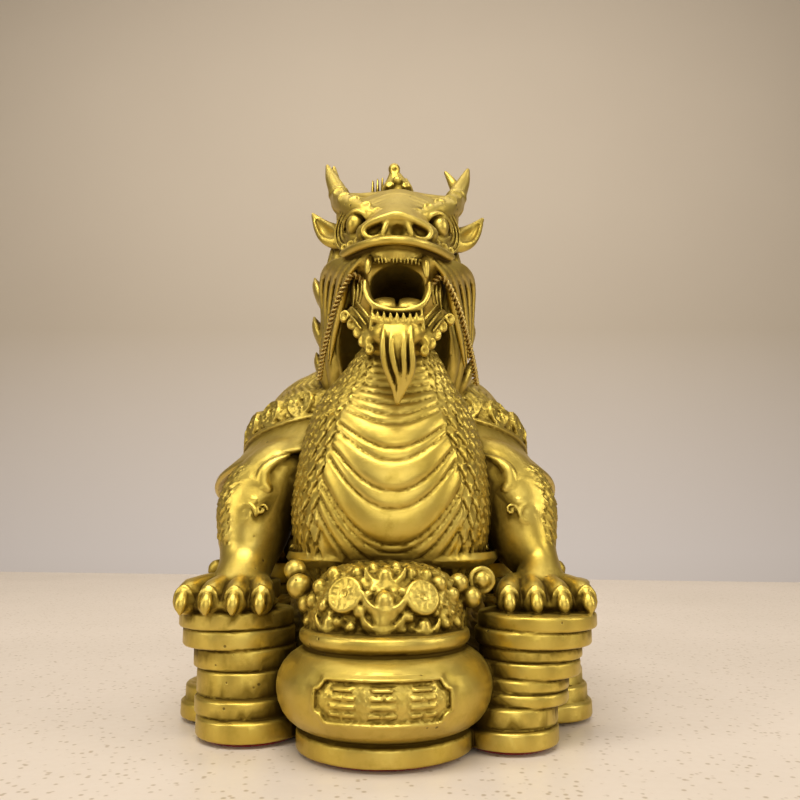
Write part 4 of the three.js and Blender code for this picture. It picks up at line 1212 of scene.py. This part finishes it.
def treasure_shapes():
    """Coins, ingots and pearls on the mound in the bowl, and pearls in the corners beside it"""
    upper = on_mound(0.3, 54.4, 0.6)[1] + 0.4
    lower = on_mound(0.4, 47, 0.8)[1] - 0.2
    shapes = [
        heap_coin(-11.8, 49.2, (-0.38, -1, 0.42), 5.9),
        heap_coin(11.6, 48.4, (0.42, -1, 0.42), 5.7),
        heap_coin(23.4, 44.5, (0.95, -0.5, 0.15), 5.6, 2.5, 3.0),
        heap_coin(-22.4, 41.4, (-0.9, -0.5, 0.2), 5.2, 2.0, 3.0),
        *ingot_shapes((0.4, upper, 54.2), 12.6),
        *ingot_shapes((0.4, lower, 46.9), 13.8),
        *ingot_shapes((-0.2, -77.2, 41.0), 13.4),
        *ingot_shapes((-16.8, -71.8, 40.2), 10.5, -0.45),
        *ingot_shapes((12.2, -75.0, 39.6), 10.6, 0.25),
    ]
    pearls = (
        (-10.0, 39.6, 2.1), (-7.2, 44.6, 2.3), (-18.8, 45.6, 2.2), (7.6, 43.0, 2.0),
        (5.4, 39.0, 1.9), (18.8, 40.2, 2.2), (17.4, 52.2, 2.7), (-23.2, 46.5, 2.4),
        (-16.4, 55.0, 2.6), (-8.6, 55.6, 2.3), (8.4, 55.4, 2.2), (13.6, 55.0, 1.9),
        (21.8, 48.6, 2.4), (-20.8, 51.0, 2.6), (-14.2, 41.2, 1.8), (23.0, 39.6, 1.8),
        (15.8, 43.8, 1.7), (-4.8, 49.6, 1.6), (5.6, 50.4, 1.7), (-24.6, 40.0, 1.9),
        (-3.6, 57.2, 1.8), (3.8, 57.4, 1.8),
    )
    shapes += [ball(on_mound(x, z, 0.5), r) for x, z, r in pearls]
    corner_pearls = (
        (-30.6, -52, 55.4, 3.8), (-28.4, -58, 50.6, 4.2), (-25.6, -60, 45.2, 3.0),
        (24.4, -58, 51.6, 3.4), (28.6, -57, 47.0, 3.6), (32.4, -54, 52.4, 3.3),
        (-34, -46, 50.4, 3.4), (33.4, -50, 45.6, 3.0),
    )
    shapes += [ball(place, r) for *place, r in corner_pearls]
    shapes.append(hoop((32.4, -55.2, 52.4), (0.2, -1, 0), 3.9, 0.9))
    return shapes


def core_shapes():
    """What carries the figure between the stacks, and the mound in the bowl"""
    wide = 51.5
    profile = [
        (0, BASE), (wide, BASE), (wide * 1.02, BASE + 12), (wide * 0.86, BASE + 30),
        (wide * 0.72, STACK_TOP + 4), (wide * 0.6, STACK_TOP + 20), (0, STACK_TOP + 20),
    ]
    levels = [MOUND_HEIGHT * math.sin(i * math.pi / 24) for i in range(12)]
    mound = [(0, 0), *((float(mound_reach(up)), up) for up in levels), (0, MOUND_HEIGHT)]

    def rubble(pitch, height):
        return lambda a, b, h, rho: grain(a, b, h, pitch, height)

    return [
        turned(profile, (0, 8, 0), squash=1.28, relief=rubble(11.0, 1.2)),
        turned(mound, MOUND, squash=0.86, relief=rubble(5.2, 0.9)),
    ]


def flank_shapes():
    """Piles of coins round the core, with ingots on them, and loose coins and pearls between"""
    half = HALF_SPACING
    shapes = []

    def flat_coin(middle, radius, thick, marks):
        shapes.append(
            drum(middle, Z, radius, thick, edge=0.8, relief=coin_relief(marks, 1.6, 0.5))
        )

    def pile(aside, back, count, radius=17.0, thick=5.7):
        x, y = aside * half, back * half
        for i in range(count):
            middle = (x - math.copysign(1.4 * i, x), y + 1.2 * i, BASE + (i + 0.5) * thick)
            flat_coin(middle, radius - 0.15, thick - 0.1, radius)

    top = {2: BASE + 11.4 + 1.2, 3: BASE + 17.1 + 1.2}
    for s in SIDES:
        front = 3 if s > 0 else 2
        for aside, back, count in (
            (1.11, -0.34, front), (1.07, 0.15, 3), (1.04, 0.49, 2), (0.6, 1.23, 3), (0.22, 1.4, 2),
        ):
            pile(aside * s, back, count)
        for aside, back, count, length, turn in (
            (1.19, -0.3, front, 21, 1.2), (1.15, 0.19, 3, 19.5, -0.7), (0.64, 1.34, 3, 19.5, 0.5),
            (0.19, 1.53, 2, 18, -0.3),
        ):
            shapes += ingot_shapes((aside * half * s, back * half, top[count]), length, turn * s)
        flat_coin((1.085 * half * s, -0.41 * half, STACK_TOP + 5.25), 17.9, 6.4, 18)
        flat_coin((0.85 * half * s, 0.15 * half, STACK_TOP - 4.75), 17, 6.4, 17)
        shapes.append(ball((1.2 * half * s, -0.36 * half, STACK_TOP + 12), 3.8))
        shapes.append(ball((1.04 * half * s, 0.22 * half, STACK_TOP), 4.3))
        for k in range(7):
            place = (s * (38 + 7 * math.cos(2.3 * k)), -18 + 15 * k * 0.9,
                     BASE + 20 + 5 * math.sin(1.9 * k + s))
            shapes.append(ball(place, 3.0 + 0.5 * math.sin((0.5 + 0.36 * k) * 5)))
    return shapes


# The whole casting


def model_clay():
    clay = Clay((-79, -95, 0.2), (79, 95, 221.5), GRID)

    # base, bowl and treasure
    for shape in core_shapes():
        clay.add(shape, 0)
    clay.add_all(stack_shapes(), 0)
    clay.add_all(flank_shapes(), 0.3)
    clay.add_all(bowl_shapes(), 0.3)
    clay.add_all(treasure_shapes(), 0.35)

    # shell, breastplate and legs
    clay.add_all(shell_shapes(), 0.7)
    clay.add_all(tail_shapes(), 0.8)
    for side in SIDES:
        clay.add_all(hind_leg_shapes(side), 0.9)
    clay.add_all(ledge_shapes(), 0.4)
    clay.add_all(chest_shapes(), 0.3)
    for side in SIDES:
        clay.add_all(front_leg_shapes(side), 0.9)

    place(clay, hood_clay(), 0.8)
    place(clay, head_clay(), 0.8)

    # a level underside, just above the felt
    height = clay.low[2] + clay.step * np.arange(clay.field.shape[2], dtype=np.float32)
    clay.field = np.maximum(clay.field, (BASE - height).astype(np.float32)[None, None, :])
    return clay


def hood_clay():
    """The hood of the mane, open in front"""
    hood = Clay((-35, -42, 108.2), (43, 38, 206), GRID)
    hood.add_all(hood_shapes(), 0)
    for shape in hood_cuts():
        hood.cut(shape, 0.8)
    hood.add_all(mane_lock_shapes(), 0.5)
    return hood


def head_clay():
    head = Clay((-40, -82, 104.2), (48, 16, 221.5), GRID)
    head.add_all(skull_shapes(), 4)
    for shape in eye_sockets():
        head.cut(shape, 1.2)
    head.add_all(muzzle_shapes(), 1.0)
    head.add_all(eye_shapes(), 0.5)
    head.add_all(brow_shapes(), 0.7)
    head.add_all(lip_shapes(), 2.0)
    head.add_all(jaw_shapes(), 1.4)
    for shape in mouth_cuts():
        head.cut(shape, 0.8)
    for shape in muzzle_cuts():
        head.cut(shape, 0.6)
    head.add_all(muzzle_rims(), 0.4)
    head.add_all(teeth_shapes(), 0.3)
    head.add_all(tongue_shapes(), 0.6)
    head.cut(tongue_groove(), 0.6)
    head.add_all(jaw_trim(), 0.4)
    head.add_all(cheek_strands(), 0.4)
    head.add_all(goatee_shapes(), 0.3)
    head.add_all(horn_shapes(), 0.8)
    head.add_all(ear_shapes(), 0.8)
    for shape in ear_cuts():
        head.cut(shape, 0.7)
    head.add_all(crest_shapes(), 0.5)
    return head


def place(clay, part, blend):
    """Joins a smaller block of clay to the large one; both lie on the same grid"""
    shift = np.round((part.low - clay.low) / clay.step).astype(int)
    cells = tuple(slice(max(0, s), s + n) for s, n in zip(shift, part.field.shape))
    room = clay.field[cells].shape
    inner = tuple(slice(0, n) for n in room)
    clay.field[cells] = smooth_min(clay.field[cells], part.field[inner], blend)


def surface(field, low, step):
    """Surface nets: a corner in each cell that the surface crosses and a quad on each grid edge"""
    inside = field < 0
    n = np.array(field.shape) - 1
    total = np.zeros(n, np.int8)
    for i in (0, 1):
        for j in (0, 1):
            for k in (0, 1):
                total += inside[i : i + n[0], j : j + n[1], k : k + n[2]]
    mixed = (total > 0) & (total < 8)
    cells = np.argwhere(mixed)
    index = np.full(n, -1, np.int32)
    index[mixed] = np.arange(len(cells), dtype=np.int32)
    flat = field.ravel()
    strides = np.array([field.shape[1] * field.shape[2], field.shape[2], 1])
    base = cells @ strides
    corners = [(i, j, k) for i in (0, 1) for j in (0, 1) for k in (0, 1)]
    values = {c: flat[base + int(np.dot(c, strides))] for c in corners}
    sums = np.zeros((len(cells), 3), np.float64)
    hits = np.zeros(len(cells))
    for axis in range(3):
        for a in (0, 1):
            for b in (0, 1):
                start = [a, b]
                start.insert(axis, 0)
                stop = list(start)
                stop[axis] = 1
                va, vb = values[tuple(start)], values[tuple(stop)]
                cross = (va < 0) != (vb < 0)
                t = np.where(cross, va / np.where(cross, va - vb, 1), 0)
                for k in range(3):
                    sums[:, k] += cross * (t if k == axis else start[k])
                hits += cross
    points = (cells + sums / hits[:, None]) * step + low
    quads = []
    for axis in range(3):
        first = [slice(None)] * 3
        second = [slice(None)] * 3
        first[axis] = slice(0, -1)
        second[axis] = slice(1, None)
        s0, s1 = inside[tuple(first)], inside[tuple(second)]
        edge = s0 != s1
        other = [k for k in range(3) if k != axis]
        for k in other:
            cut = [slice(None)] * 3
            cut[k] = 0
            edge[tuple(cut)] = False
            cut[k] = -1
            edge[tuple(cut)] = False
        where = np.argwhere(edge)
        outward = s0[tuple(where.T)]
        ring = []
        for da, db in ((1, 1), (0, 1), (0, 0), (1, 0)):
            cell = where.copy()
            cell[:, other[0]] -= da
            cell[:, other[1]] -= db
            ring.append(index[tuple(cell.T)])
        ring = np.stack(ring, 1)
        if axis == 1:
            outward = ~outward
        ring[~outward] = ring[~outward][:, ::-1]
        quads.append(ring)
    return points, np.concatenate(quads)


def largest_body(points, quads):
    """Drops crumbs that touch nothing"""
    parent = np.arange(len(points))
    edges = np.concatenate([quads[:, [0, 1]], quads[:, [1, 2]], quads[:, [2, 3]]])
    while True:
        low = np.minimum(parent[edges[:, 0]], parent[edges[:, 1]])
        before = parent.copy()
        np.minimum.at(parent, edges[:, 0], low)
        np.minimum.at(parent, edges[:, 1], low)
        parent = parent[parent]
        parent = parent[parent]
        if np.array_equal(before, parent):
            break
    names, sizes = np.unique(parent, return_counts=True)
    keep = parent == names[np.argmax(sizes)]
    renumber = np.cumsum(keep) - 1
    return points[keep], renumber[quads[keep[quads[:, 0]]]]


def sample(field, low, step, points):
    """The field between its grid points"""
    where = np.clip((points - low) / step, 0, np.array(field.shape) - 1.001)
    i = where.astype(int)
    f = where - i
    value = np.zeros(len(points))
    for corner in range(8):
        pick = [(corner >> k) & 1 for k in range(3)]
        weight = np.prod([f[:, k] if pick[k] else 1 - f[:, k] for k in range(3)], axis=0)
        value += weight * field[i[:, 0] + pick[0], i[:, 1] + pick[1], i[:, 2] + pick[2]]
    return value


def slope(field, low, step, points):
    """Unit vectors that point straight out of the surface"""
    offset = step * 0.7
    parts = []
    for k in range(3):
        move = np.zeros(3)
        move[k] = offset
        ahead, behind = (sample(field, low, step, points + sign * move) for sign in (1, -1))
        parts.append(ahead - behind)
    normal = np.stack(parts, 1)
    return normal / np.maximum(np.linalg.norm(normal, axis=1, keepdims=True), 1e-9)


def box_blur(block, reach):
    for axis in range(3):
        width = 2 * reach + 1
        pad = [(0, 0)] * 3
        pad[axis] = (reach + 1, reach)
        run = np.cumsum(np.pad(block, pad, mode="edge"), axis=axis, dtype=np.float32)
        upper = [slice(None)] * 3
        lower = [slice(None)] * 3
        upper[axis] = slice(width, None)
        lower[axis] = slice(0, -width)
        block = (run[tuple(upper)] - run[tuple(lower)]) / width
    return block


# the brass material darkens its colour by this value: patina in the fine grooves, painted shade in
# the wider hollows
def recess(clay, points, normals):
    """How deep in a recess each point lies, from 0 in the open to 1 in a narrow gap"""
    half = (clay.field[::2, ::2, ::2] < 0).astype(np.float32)
    step = clay.step * 2
    shade = -0.42
    for reach, away, share in ((1.6, 1.3, 1.2), (6.0, 3.5, 1.1), (13.0, 9.0, 1.0)):
        blurred = box_blur(half, max(1, round(reach / step)))
        shade = shade + share * sample(blurred, clay.low, step, points + normals * away)
    for away, share in ((0.9, 0.9), (1.8, 0.6)):
        gap = sample(clay.field, clay.low, clay.step, points + normals * away)
        shade = shade + share * np.clip(1 - gap / away, 0, 1)
    return np.clip(shade, 0, 1)


def new_object(name, data):
    thing = bpy.data.objects.new(name, data)
    bpy.context.scene.collection.objects.link(thing)
    return thing


def mesh_object(name, points, quads):
    mesh = bpy.data.meshes.new(name)
    mesh.vertices.add(len(points))
    mesh.vertices.foreach_set("co", points.astype(np.float32).ravel())
    mesh.loops.add(quads.size)
    mesh.loops.foreach_set("vertex_index", quads.astype(np.int32).ravel())
    mesh.polygons.add(len(quads))
    mesh.polygons.foreach_set("loop_start", np.arange(len(quads), dtype=np.int32) * quads.shape[1])
    mesh.update(calc_edges=True)
    thing = new_object(name, mesh)
    return thing


def apply_modifier(thing, kind, **settings):
    modifier = thing.modifiers.new(kind.title(), kind)
    for key, value in settings.items():
        setattr(modifier, key, value)
    bpy.context.view_layer.objects.active = thing
    bpy.ops.object.modifier_apply(modifier=modifier.name)


def corners_of(mesh):
    points = np.empty(len(mesh.vertices) * 3, np.float32)
    mesh.vertices.foreach_get("co", points)
    return points.reshape(-1, 3).astype(np.float64)


# the narrowed view: a centre this far behind the origin and this high, leaning back with height
VIEW_BACK = 160
VIEW_RISE = 100
VIEW_TILT = 0.4
VIEW_DEPTH = 100
VIEW_SCALE = 1000

SETTLE_SHARE = 0.8  # of the way back onto the clay's surface, in each of two passes
SETTLE_LIMIT = 0.25
MILLIMETRE = 0.001


def lay(thing, points):
    thing.data.vertices.foreach_set("co", points.astype(np.float32).ravel())
    thing.data.update()


def narrowed(points):
    """The points as seen in a view that narrows towards the back"""
    x, y, z = points.T
    depth = y + VIEW_BACK - VIEW_TILT * z
    return np.stack([x / depth, -VIEW_DEPTH / depth, (z - VIEW_RISE) / depth], 1) * VIEW_SCALE


def widened(points):
    across, away, up = points.T
    depth = -VIEW_DEPTH * VIEW_SCALE / away
    x = across * depth / VIEW_SCALE
    z = up * depth / VIEW_SCALE + VIEW_RISE
    return np.stack([x, depth - VIEW_BACK + VIEW_TILT * z, z], 1)


def cast_figure():
    clay = model_clay()
    points, quads = largest_body(*surface(clay.field, clay.low, clay.step))
    thing = mesh_object("dragon_turtle_brass", points, quads)

    # thinned in a view that narrows towards the back, so that the front keeps more of the triangles
    lay(thing, narrowed(points))
    apply_modifier(thing, "DECIMATE", ratio=FACES / (2 * len(quads)))

    # the corners that are left go back onto the clay's surface, and take their shading from it
    mesh = thing.data
    points = widened(corners_of(mesh))
    for _ in range(2):
        normals = slope(clay.field, clay.low, clay.step, points)
        off = sample(clay.field, clay.low, clay.step, points)
        off = np.clip(off, -SETTLE_LIMIT, SETTLE_LIMIT)
        points = points - SETTLE_SHARE * off[:, None] * normals
    normals = slope(clay.field, clay.low, clay.step, points)
    # how enclosed each corner is, which the brass material paints as patina and painted shade
    shade = mesh.attributes.new("recess", "FLOAT", "POINT")
    shade.data.foreach_set("value", recess(clay, points, normals).astype(np.float32))
    lay(thing, (points + (*MIDDLE, 0)) * MILLIMETRE)
    for polygon in mesh.polygons:
        polygon.use_smooth = True
    mesh.normals_split_custom_set_from_vertices(normals.tolist())
    return thing


brass_figure = cast_figure()
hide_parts("dragon_turtle")
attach(brass_figure, "root")


# Materials


class Graph:
    """Small helper for building a node material"""

    def __init__(self, name):
        self.material = bpy.data.materials.new(name)
        self.material.use_nodes = True
        self.tree = self.material.node_tree
        self.tree.nodes.clear()
        self.out = self.tree.nodes.new("ShaderNodeOutputMaterial")
        self.shader = self.tree.nodes.new("ShaderNodeBsdfPrincipled")
        self.link(self.shader.outputs[0], self.out.inputs["Surface"])
        self.place = self.tree.nodes.new("ShaderNodeTexCoord").outputs["Object"]

    def link(self, source, target):
        self.tree.links.new(source, target)

    def node(self, kind, inputs=None, **settings):
        node = self.tree.nodes.new(kind)
        for key, value in settings.items():
            setattr(node, key, value)
        for key, value in (inputs or {}).items():
            if isinstance(value, bpy.types.NodeSocket):
                self.link(value, node.inputs[key])
            else:
                node.inputs[key].default_value = value
        return node

    def noise(self, scale, detail=3.0, rough=0.55, stretch=None):
        place = self.place
        if stretch:
            inputs = {"Vector": self.place, "Scale": stretch}
            place = self.node("ShaderNodeMapping", inputs).outputs[0]
        inputs = {"Vector": place, "Scale": scale, "Detail": detail, "Roughness": rough}
        return self.node("ShaderNodeTexNoise", inputs).outputs["Fac"]

    def dots(self, scale):
        """Distance from the nearest of many scattered points"""
        inputs = {"Vector": self.place, "Scale": scale}
        return self.node("ShaderNodeTexVoronoi", inputs, feature="F1").outputs["Distance"]

    def math(self, operation, a, b):
        return self.node("ShaderNodeMath", {0: a, 1: b}, operation=operation).outputs[0]

    def spread(self, value, low, high, to_low=0.0, to_high=1.0):
        inputs = {"Value": value, "From Min": low, "From Max": high}
        inputs |= {"To Min": to_low, "To Max": to_high}
        return self.node("ShaderNodeMapRange", inputs).outputs["Result"]

    def mix(self, share, a, b):
        return self.node("ShaderNodeMix", {0: share, 6: a, 7: b}, data_type="RGBA").outputs[2]

    def bumps(self, *layers):
        """Layers of height in millimetres, one bump node on the next"""
        normal = None
        for height, depth in layers:
            inputs = {"Height": height, "Strength": 1.0, "Distance": depth * MILLIMETRE}
            if normal is not None:
                inputs["Normal"] = normal
            normal = self.node("ShaderNodeBump", inputs).outputs[0]
        self.link(normal, self.shader.inputs["Normal"])


# linear colours of the brass, from polished to the patina and painted shade of its hollows, darkest
# as painted shade in the deepest gaps
BRASS, BRASS_PALE = (0.56, 0.405, 0.070, 1), (0.62, 0.47, 0.105, 1)
BRASS_DULL = (0.44, 0.32, 0.045, 1)
PATINA_SHADE, PATINA_SHADE_PALE = (0.20, 0.135, 0.018, 1), (0.30, 0.21, 0.034, 1)
PATINA_SHADE_DEEP = (0.09, 0.055, 0.008, 1)
PIT = (0.09, 0.06, 0.015, 1)


def brass_material():
    g = Graph("satin_brass")
    recess = g.node("ShaderNodeAttribute", attribute_name="recess").outputs["Fac"]
    cloud = g.noise(38, 4)
    mottle = g.noise(230, 5, 0.6)
    fleck = g.noise(1500, 3)
    tone = g.mix(g.spread(cloud, 0.35, 0.65), BRASS, BRASS_PALE)
    tone = g.mix(g.spread(mottle, 0.5, 0.75, 0, 0.55), tone, BRASS_DULL)
    # patina colour, mixed in by the recess value: real patina in the fine grooves, and painted
    # shade in the wider hollows under the jaw, inside the hood and between the legs, darkest in the
    # deepest gaps
    patina_shade_tone = g.mix(g.spread(mottle, 0.35, 0.65), PATINA_SHADE, PATINA_SHADE_PALE)
    patina_shade_tone = g.mix(g.spread(recess, 0.75, 1.0), patina_shade_tone, PATINA_SHADE_DEEP)
    # the mask for the patina and painted shade: the recess value, jittered by the mottle
    patina_shade_mask = g.math("ADD", recess, g.spread(mottle, 0.3, 0.7, -0.1, 0.1))
    patina_shade_mask = g.spread(patina_shade_mask, 0.14, 0.6)
    tone = g.mix(patina_shade_mask, tone, patina_shade_tone)
    pits = g.spread(g.dots(260.0), 0.16, 0.09)
    pits = g.math("MULTIPLY", pits, g.spread(g.noise(60, 2), 0.56, 0.6))
    tone = g.mix(g.math("MULTIPLY", pits, 0.8), tone, PIT)
    g.link(tone, g.shader.inputs["Base Color"])
    rough = g.spread(mottle, 0.3, 0.7, 0.35, 0.44)
    rough = g.math("ADD", rough, g.math("MULTIPLY", patina_shade_mask, 0.26))
    g.link(rough, g.shader.inputs["Roughness"])
    g.shader.inputs["Metallic"].default_value = 1.0
    brush = g.noise(260, 2, 0.5, (0.25, 0.25, 9))
    g.bumps((cloud, 0.2), (g.noise(420, 3), 0.04), (brush, 0.022), (fleck, 0.012),
            (g.spread(pits, 0, 1, 1, 0), 0.12))
    return g.material


def wire_material():
    g = Graph("drawn_wire")
    grain_lines = g.noise(900, 4)
    tone = g.mix(g.spread(grain_lines, 0.35, 0.65), (0.40, 0.28, 0.075, 1), (0.56, 0.41, 0.13, 1))
    g.link(tone, g.shader.inputs["Base Color"])
    g.link(g.spread(grain_lines, 0.3, 0.7, 0.34, 0.5), g.shader.inputs["Roughness"])
    g.shader.inputs["Metallic"].default_value = 1.0
    g.bumps((grain_lines, 0.03))
    return g.material


def felt_material():
    g = Graph("red_felt")
    fibres = g.noise(2600, 5, 0.7)
    clumps = g.noise(320, 3)
    tone = g.mix(g.spread(fibres, 0.3, 0.7), (0.22, 0.012, 0.012, 1), (0.42, 0.03, 0.025, 1))
    tone = g.mix(g.spread(clumps, 0.4, 0.7, 0, 0.5), tone, (0.16, 0.01, 0.012, 1))
    g.link(tone, g.shader.inputs["Base Color"])
    g.link(g.spread(fibres, 0.3, 0.7, 0.85, 1.0), g.shader.inputs["Roughness"])
    g.shader.inputs["Sheen Weight"].default_value = 0.5
    g.bumps((clumps, 0.2), (fibres, 0.15))
    return g.material


def floor_material():
    g = Graph("pale_table")
    dots = g.dots(330.0)
    sparse = g.spread(g.noise(180, 2), 0.44, 0.54)
    speck = g.math("MULTIPLY", g.spread(dots, 0.3, 0.16), sparse)
    cloud = g.spread(g.noise(9, 3), 0.3, 0.7)
    tone = g.mix(cloud, (0.635, 0.55, 0.46, 1), (0.685, 0.595, 0.505, 1))
    tone = g.mix(g.math("MULTIPLY", speck, 0.9), tone, (0.40, 0.31, 0.21, 1))
    g.link(tone, g.shader.inputs["Base Color"])
    g.link(g.spread(g.noise(300, 3), 0.3, 0.7, 0.3, 0.42), g.shader.inputs["Roughness"])
    g.bumps((g.noise(700, 2), 0.01))
    return g.material


def dress(thing, material):
    thing.data.materials.clear()
    thing.data.materials.append(material)


# The twisted wire whiskers

STRAND_RADIUS = 0.7
STRAND_OFFSET = 0.66  # from the wire's middle line to each strand's
STRAND_SIDES = 7
WIRE_TWIST = 3.6  # length of one full turn
WIRE_STEP = 0.42


def whisker(side):
    """Two strands laid round each other along the route"""
    route = (
        (12.5, -49, 116), (16.4, -50.5, 117.6), (21.6, -46.5, 109.5), (25.4, -40.5, 99.5),
        (28.4, -33, 90.5), (30.4, -25, 83.5),
    )
    path, run = measured([head_at(x * side, y, z) for x, y, z in route], 600)
    steps = int(run[-1] / WIRE_STEP)
    even = np.linspace(0, run[-1], steps + 1)
    path = np.stack([np.interp(even, run, path[:, k]) for k in range(3)], 1)
    ahead = np.gradient(path, axis=0)
    ahead /= np.linalg.norm(ahead, axis=1, keepdims=True)
    u = np.cross(ahead, Z)
    u /= np.linalg.norm(u, axis=1, keepdims=True)
    v = np.cross(ahead, u)

    def around(i, angle):
        return u[i] * math.cos(angle) + v[i] * math.sin(angle)

    points, quads = [], []
    for strand in (0, 1):
        first = len(points)
        middles = []
        for i in range(steps + 1):
            turn = 2 * math.pi * even[i] / WIRE_TWIST + strand * math.pi
            middles.append(path[i] + STRAND_OFFSET * around(i, turn))
            for k in range(STRAND_SIDES):
                angle = 2 * math.pi * k / STRAND_SIDES
                points.append(middles[i] + STRAND_RADIUS * around(i, angle))

        def corners(i, k):
            ring = first + i * STRAND_SIDES
            return ring + k, ring + (k + 1) % STRAND_SIDES

        for i in range(steps):
            for k in range(STRAND_SIDES):
                a, b = corners(i, k)
                quads.append((a, b, b + STRAND_SIDES, a + STRAND_SIDES))
        for end in (0, steps):
            tip = len(points)
            points.append(middles[end])
            for k in range(STRAND_SIDES):
                a, b = corners(end, k)
                quads.append((tip, b, a, a) if end == 0 else (tip, a, b, b))
    return points, quads


def whisker_object(side):
    points, quads = whisker(side)
    name = "whisker_wire_left" if side < 0 else "whisker_wire_right"
    mesh = bpy.data.meshes.new(name)
    faces = [tuple(dict.fromkeys(face)) for face in quads]
    moved = [tuple((p + np.array((*MIDDLE, 0))) * MILLIMETRE) for p in points]
    mesh.from_pydata(moved, [], faces)
    mesh.polygons.foreach_set("use_smooth", [True] * len(mesh.polygons))
    thing = new_object(name, mesh)
    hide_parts("whisker_left" if side < 0 else "whisker_right")
    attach(thing, "root")
    return thing


dress(brass_figure, brass_material())
wire = wire_material()
for side in SIDES:
    dress(whisker_object(side), wire)


FELT_SHARE = 0.05  # of the felt's triangles that are kept


def felt_sheet():
    """Felt under the bowl and the coin stacks, a little inside their edges"""
    sheet = Clay((-78, -96, -1.1), (78, 96, 2.2), 0.5)
    discs = [
        (*BOWL, 25.4), (40.6, -54, 13.4), (-46, -43.5, 15.4), (0, 8, 48), (0, 30, 41),
        *((45.5 * s, 44, 16) for s in SIDES),
    ]
    for x, y, radius in discs:
        sheet.add(drum((x, y, 0.5), (0, 0, 1), radius, 0.94, edge=0.1), 0)
    points, quads = surface(sheet.field, sheet.low, sheet.step)
    points[:, 2] = np.clip(points[:, 2], 0.02, 1.0)
    thing = mesh_object("felt_sheet", (points + (*MIDDLE, 0)) * MILLIMETRE, quads)
    apply_modifier(thing, "DECIMATE", ratio=FELT_SHARE)
    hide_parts("felt_pad")
    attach(thing, "root")
    return thing


dress(felt_sheet(), felt_material())


# Floor, wall, light and camera


def sheet_object(name, corners, material):
    mesh = bpy.data.meshes.new(name)
    mesh.from_pydata(corners, [], [(0, 1, 2, 3)])
    thing = new_object(name, mesh)
    dress(thing, material)
    return thing


def wall_material():
    g = Graph("wall_with_painted_light")
    tone = g.mix(g.noise(3, 2), (0.48, 0.41, 0.33, 1), (0.515, 0.445, 0.36, 1))
    # the lower wall is painted paler towards the floor: painted light
    rise = g.node("ShaderNodeSeparateXYZ", {"Vector": g.place}).outputs["Z"]
    tone = g.mix(g.spread(rise, 0.45, 0.0), tone, (0.77, 0.71, 0.69, 1))
    g.link(tone, g.shader.inputs["Base Color"])
    g.shader.inputs["Roughness"].default_value = 0.9
    g.shader.inputs["Specular IOR Level"].default_value = 0.1
    return g.material


FLOOR_HALF = 1.6
FLOOR_BACK = 0.647  # where the floor's slanting back edge crosses the middle
FLOOR_SLANT = 0.172
WALL_Y = 1.25

floor_edge = [(s * FLOOR_HALF, FLOOR_BACK - FLOOR_SLANT * s * FLOOR_HALF, 0) for s in (1, -1)]
floor_front = [(s * FLOOR_HALF, -1.2, 0) for s in (-1, 1)]
sheet_object("floor", [*floor_front, *floor_edge], floor_material())
wall_corners = [(x, WALL_Y, z) for x, z in ((-2.5, -0.6), (2.5, -0.6), (2.5, 2.4), (-2.5, 2.4))]
sheet_object("wall", wall_corners, wall_material())


def area_light(name, place, aim, size, power, tint):
    data = bpy.data.lights.new(name, "AREA")
    data.shape = "RECTANGLE"
    data.size, data.size_y = size
    data.energy = power
    data.color = tint
    thing = new_object(name, data)
    thing.location = place
    thing.rotation_euler = (Vector(aim) - Vector(place)).to_track_quat("-Z", "Y").to_euler()


FIGURE = (0, 0, 0.1)
WARM, WARMER = (1, 0.97, 0.92), (1, 0.96, 0.9)

area_light("key", (-0.1, -0.45, 1.0), FIGURE, (0.8, 0.5), 9.5, WARM)
area_light("left", (-0.9, -0.45, 0.5), FIGURE, (0.3, 0.7), 3.1, WARMER)
area_light("right", (0.95, -0.35, 0.55), FIGURE, (0.3, 0.7), 3.6, WARMER)
area_light("front", (0.15, -1.2, 0.45), FIGURE, (0.9, 0.5), 3.6, WARM)
area_light("wall", (0, 0.35, 1.1), (0, WALL_Y, 0.35), (1.6, 0.5), 9, WARMER)

world = bpy.data.worlds.new("room")
world.use_nodes = True
world.node_tree.nodes["Background"].inputs["Color"].default_value = (0.58, 0.51, 0.41, 1)
world.node_tree.nodes["Background"].inputs["Strength"].default_value = 0.4
bpy.context.scene.world = world
bpy.context.scene.view_settings.view_transform = "Standard"

PHOTO_WIDTH = 800  # pixels
FOCAL_PIXELS = 790
SENSOR = 36
CAMERA_TILT = 8.28  # degrees upwards

camera_data = bpy.data.cameras.new("camera")
camera_data.sensor_width = SENSOR
camera_data.lens = FOCAL_PIXELS / PHOTO_WIDTH * SENSOR
camera = new_object("camera", camera_data)
camera.location = (0.005 + MIDDLE[0] * MILLIMETRE, -0.326 + MIDDLE[1] * MILLIMETRE, 0.074)
camera.rotation_euler = (math.radians(90 + CAMERA_TILT), 0, 0)
camera_data.clip_start = 0.01
bpy.context.scene.camera = camera
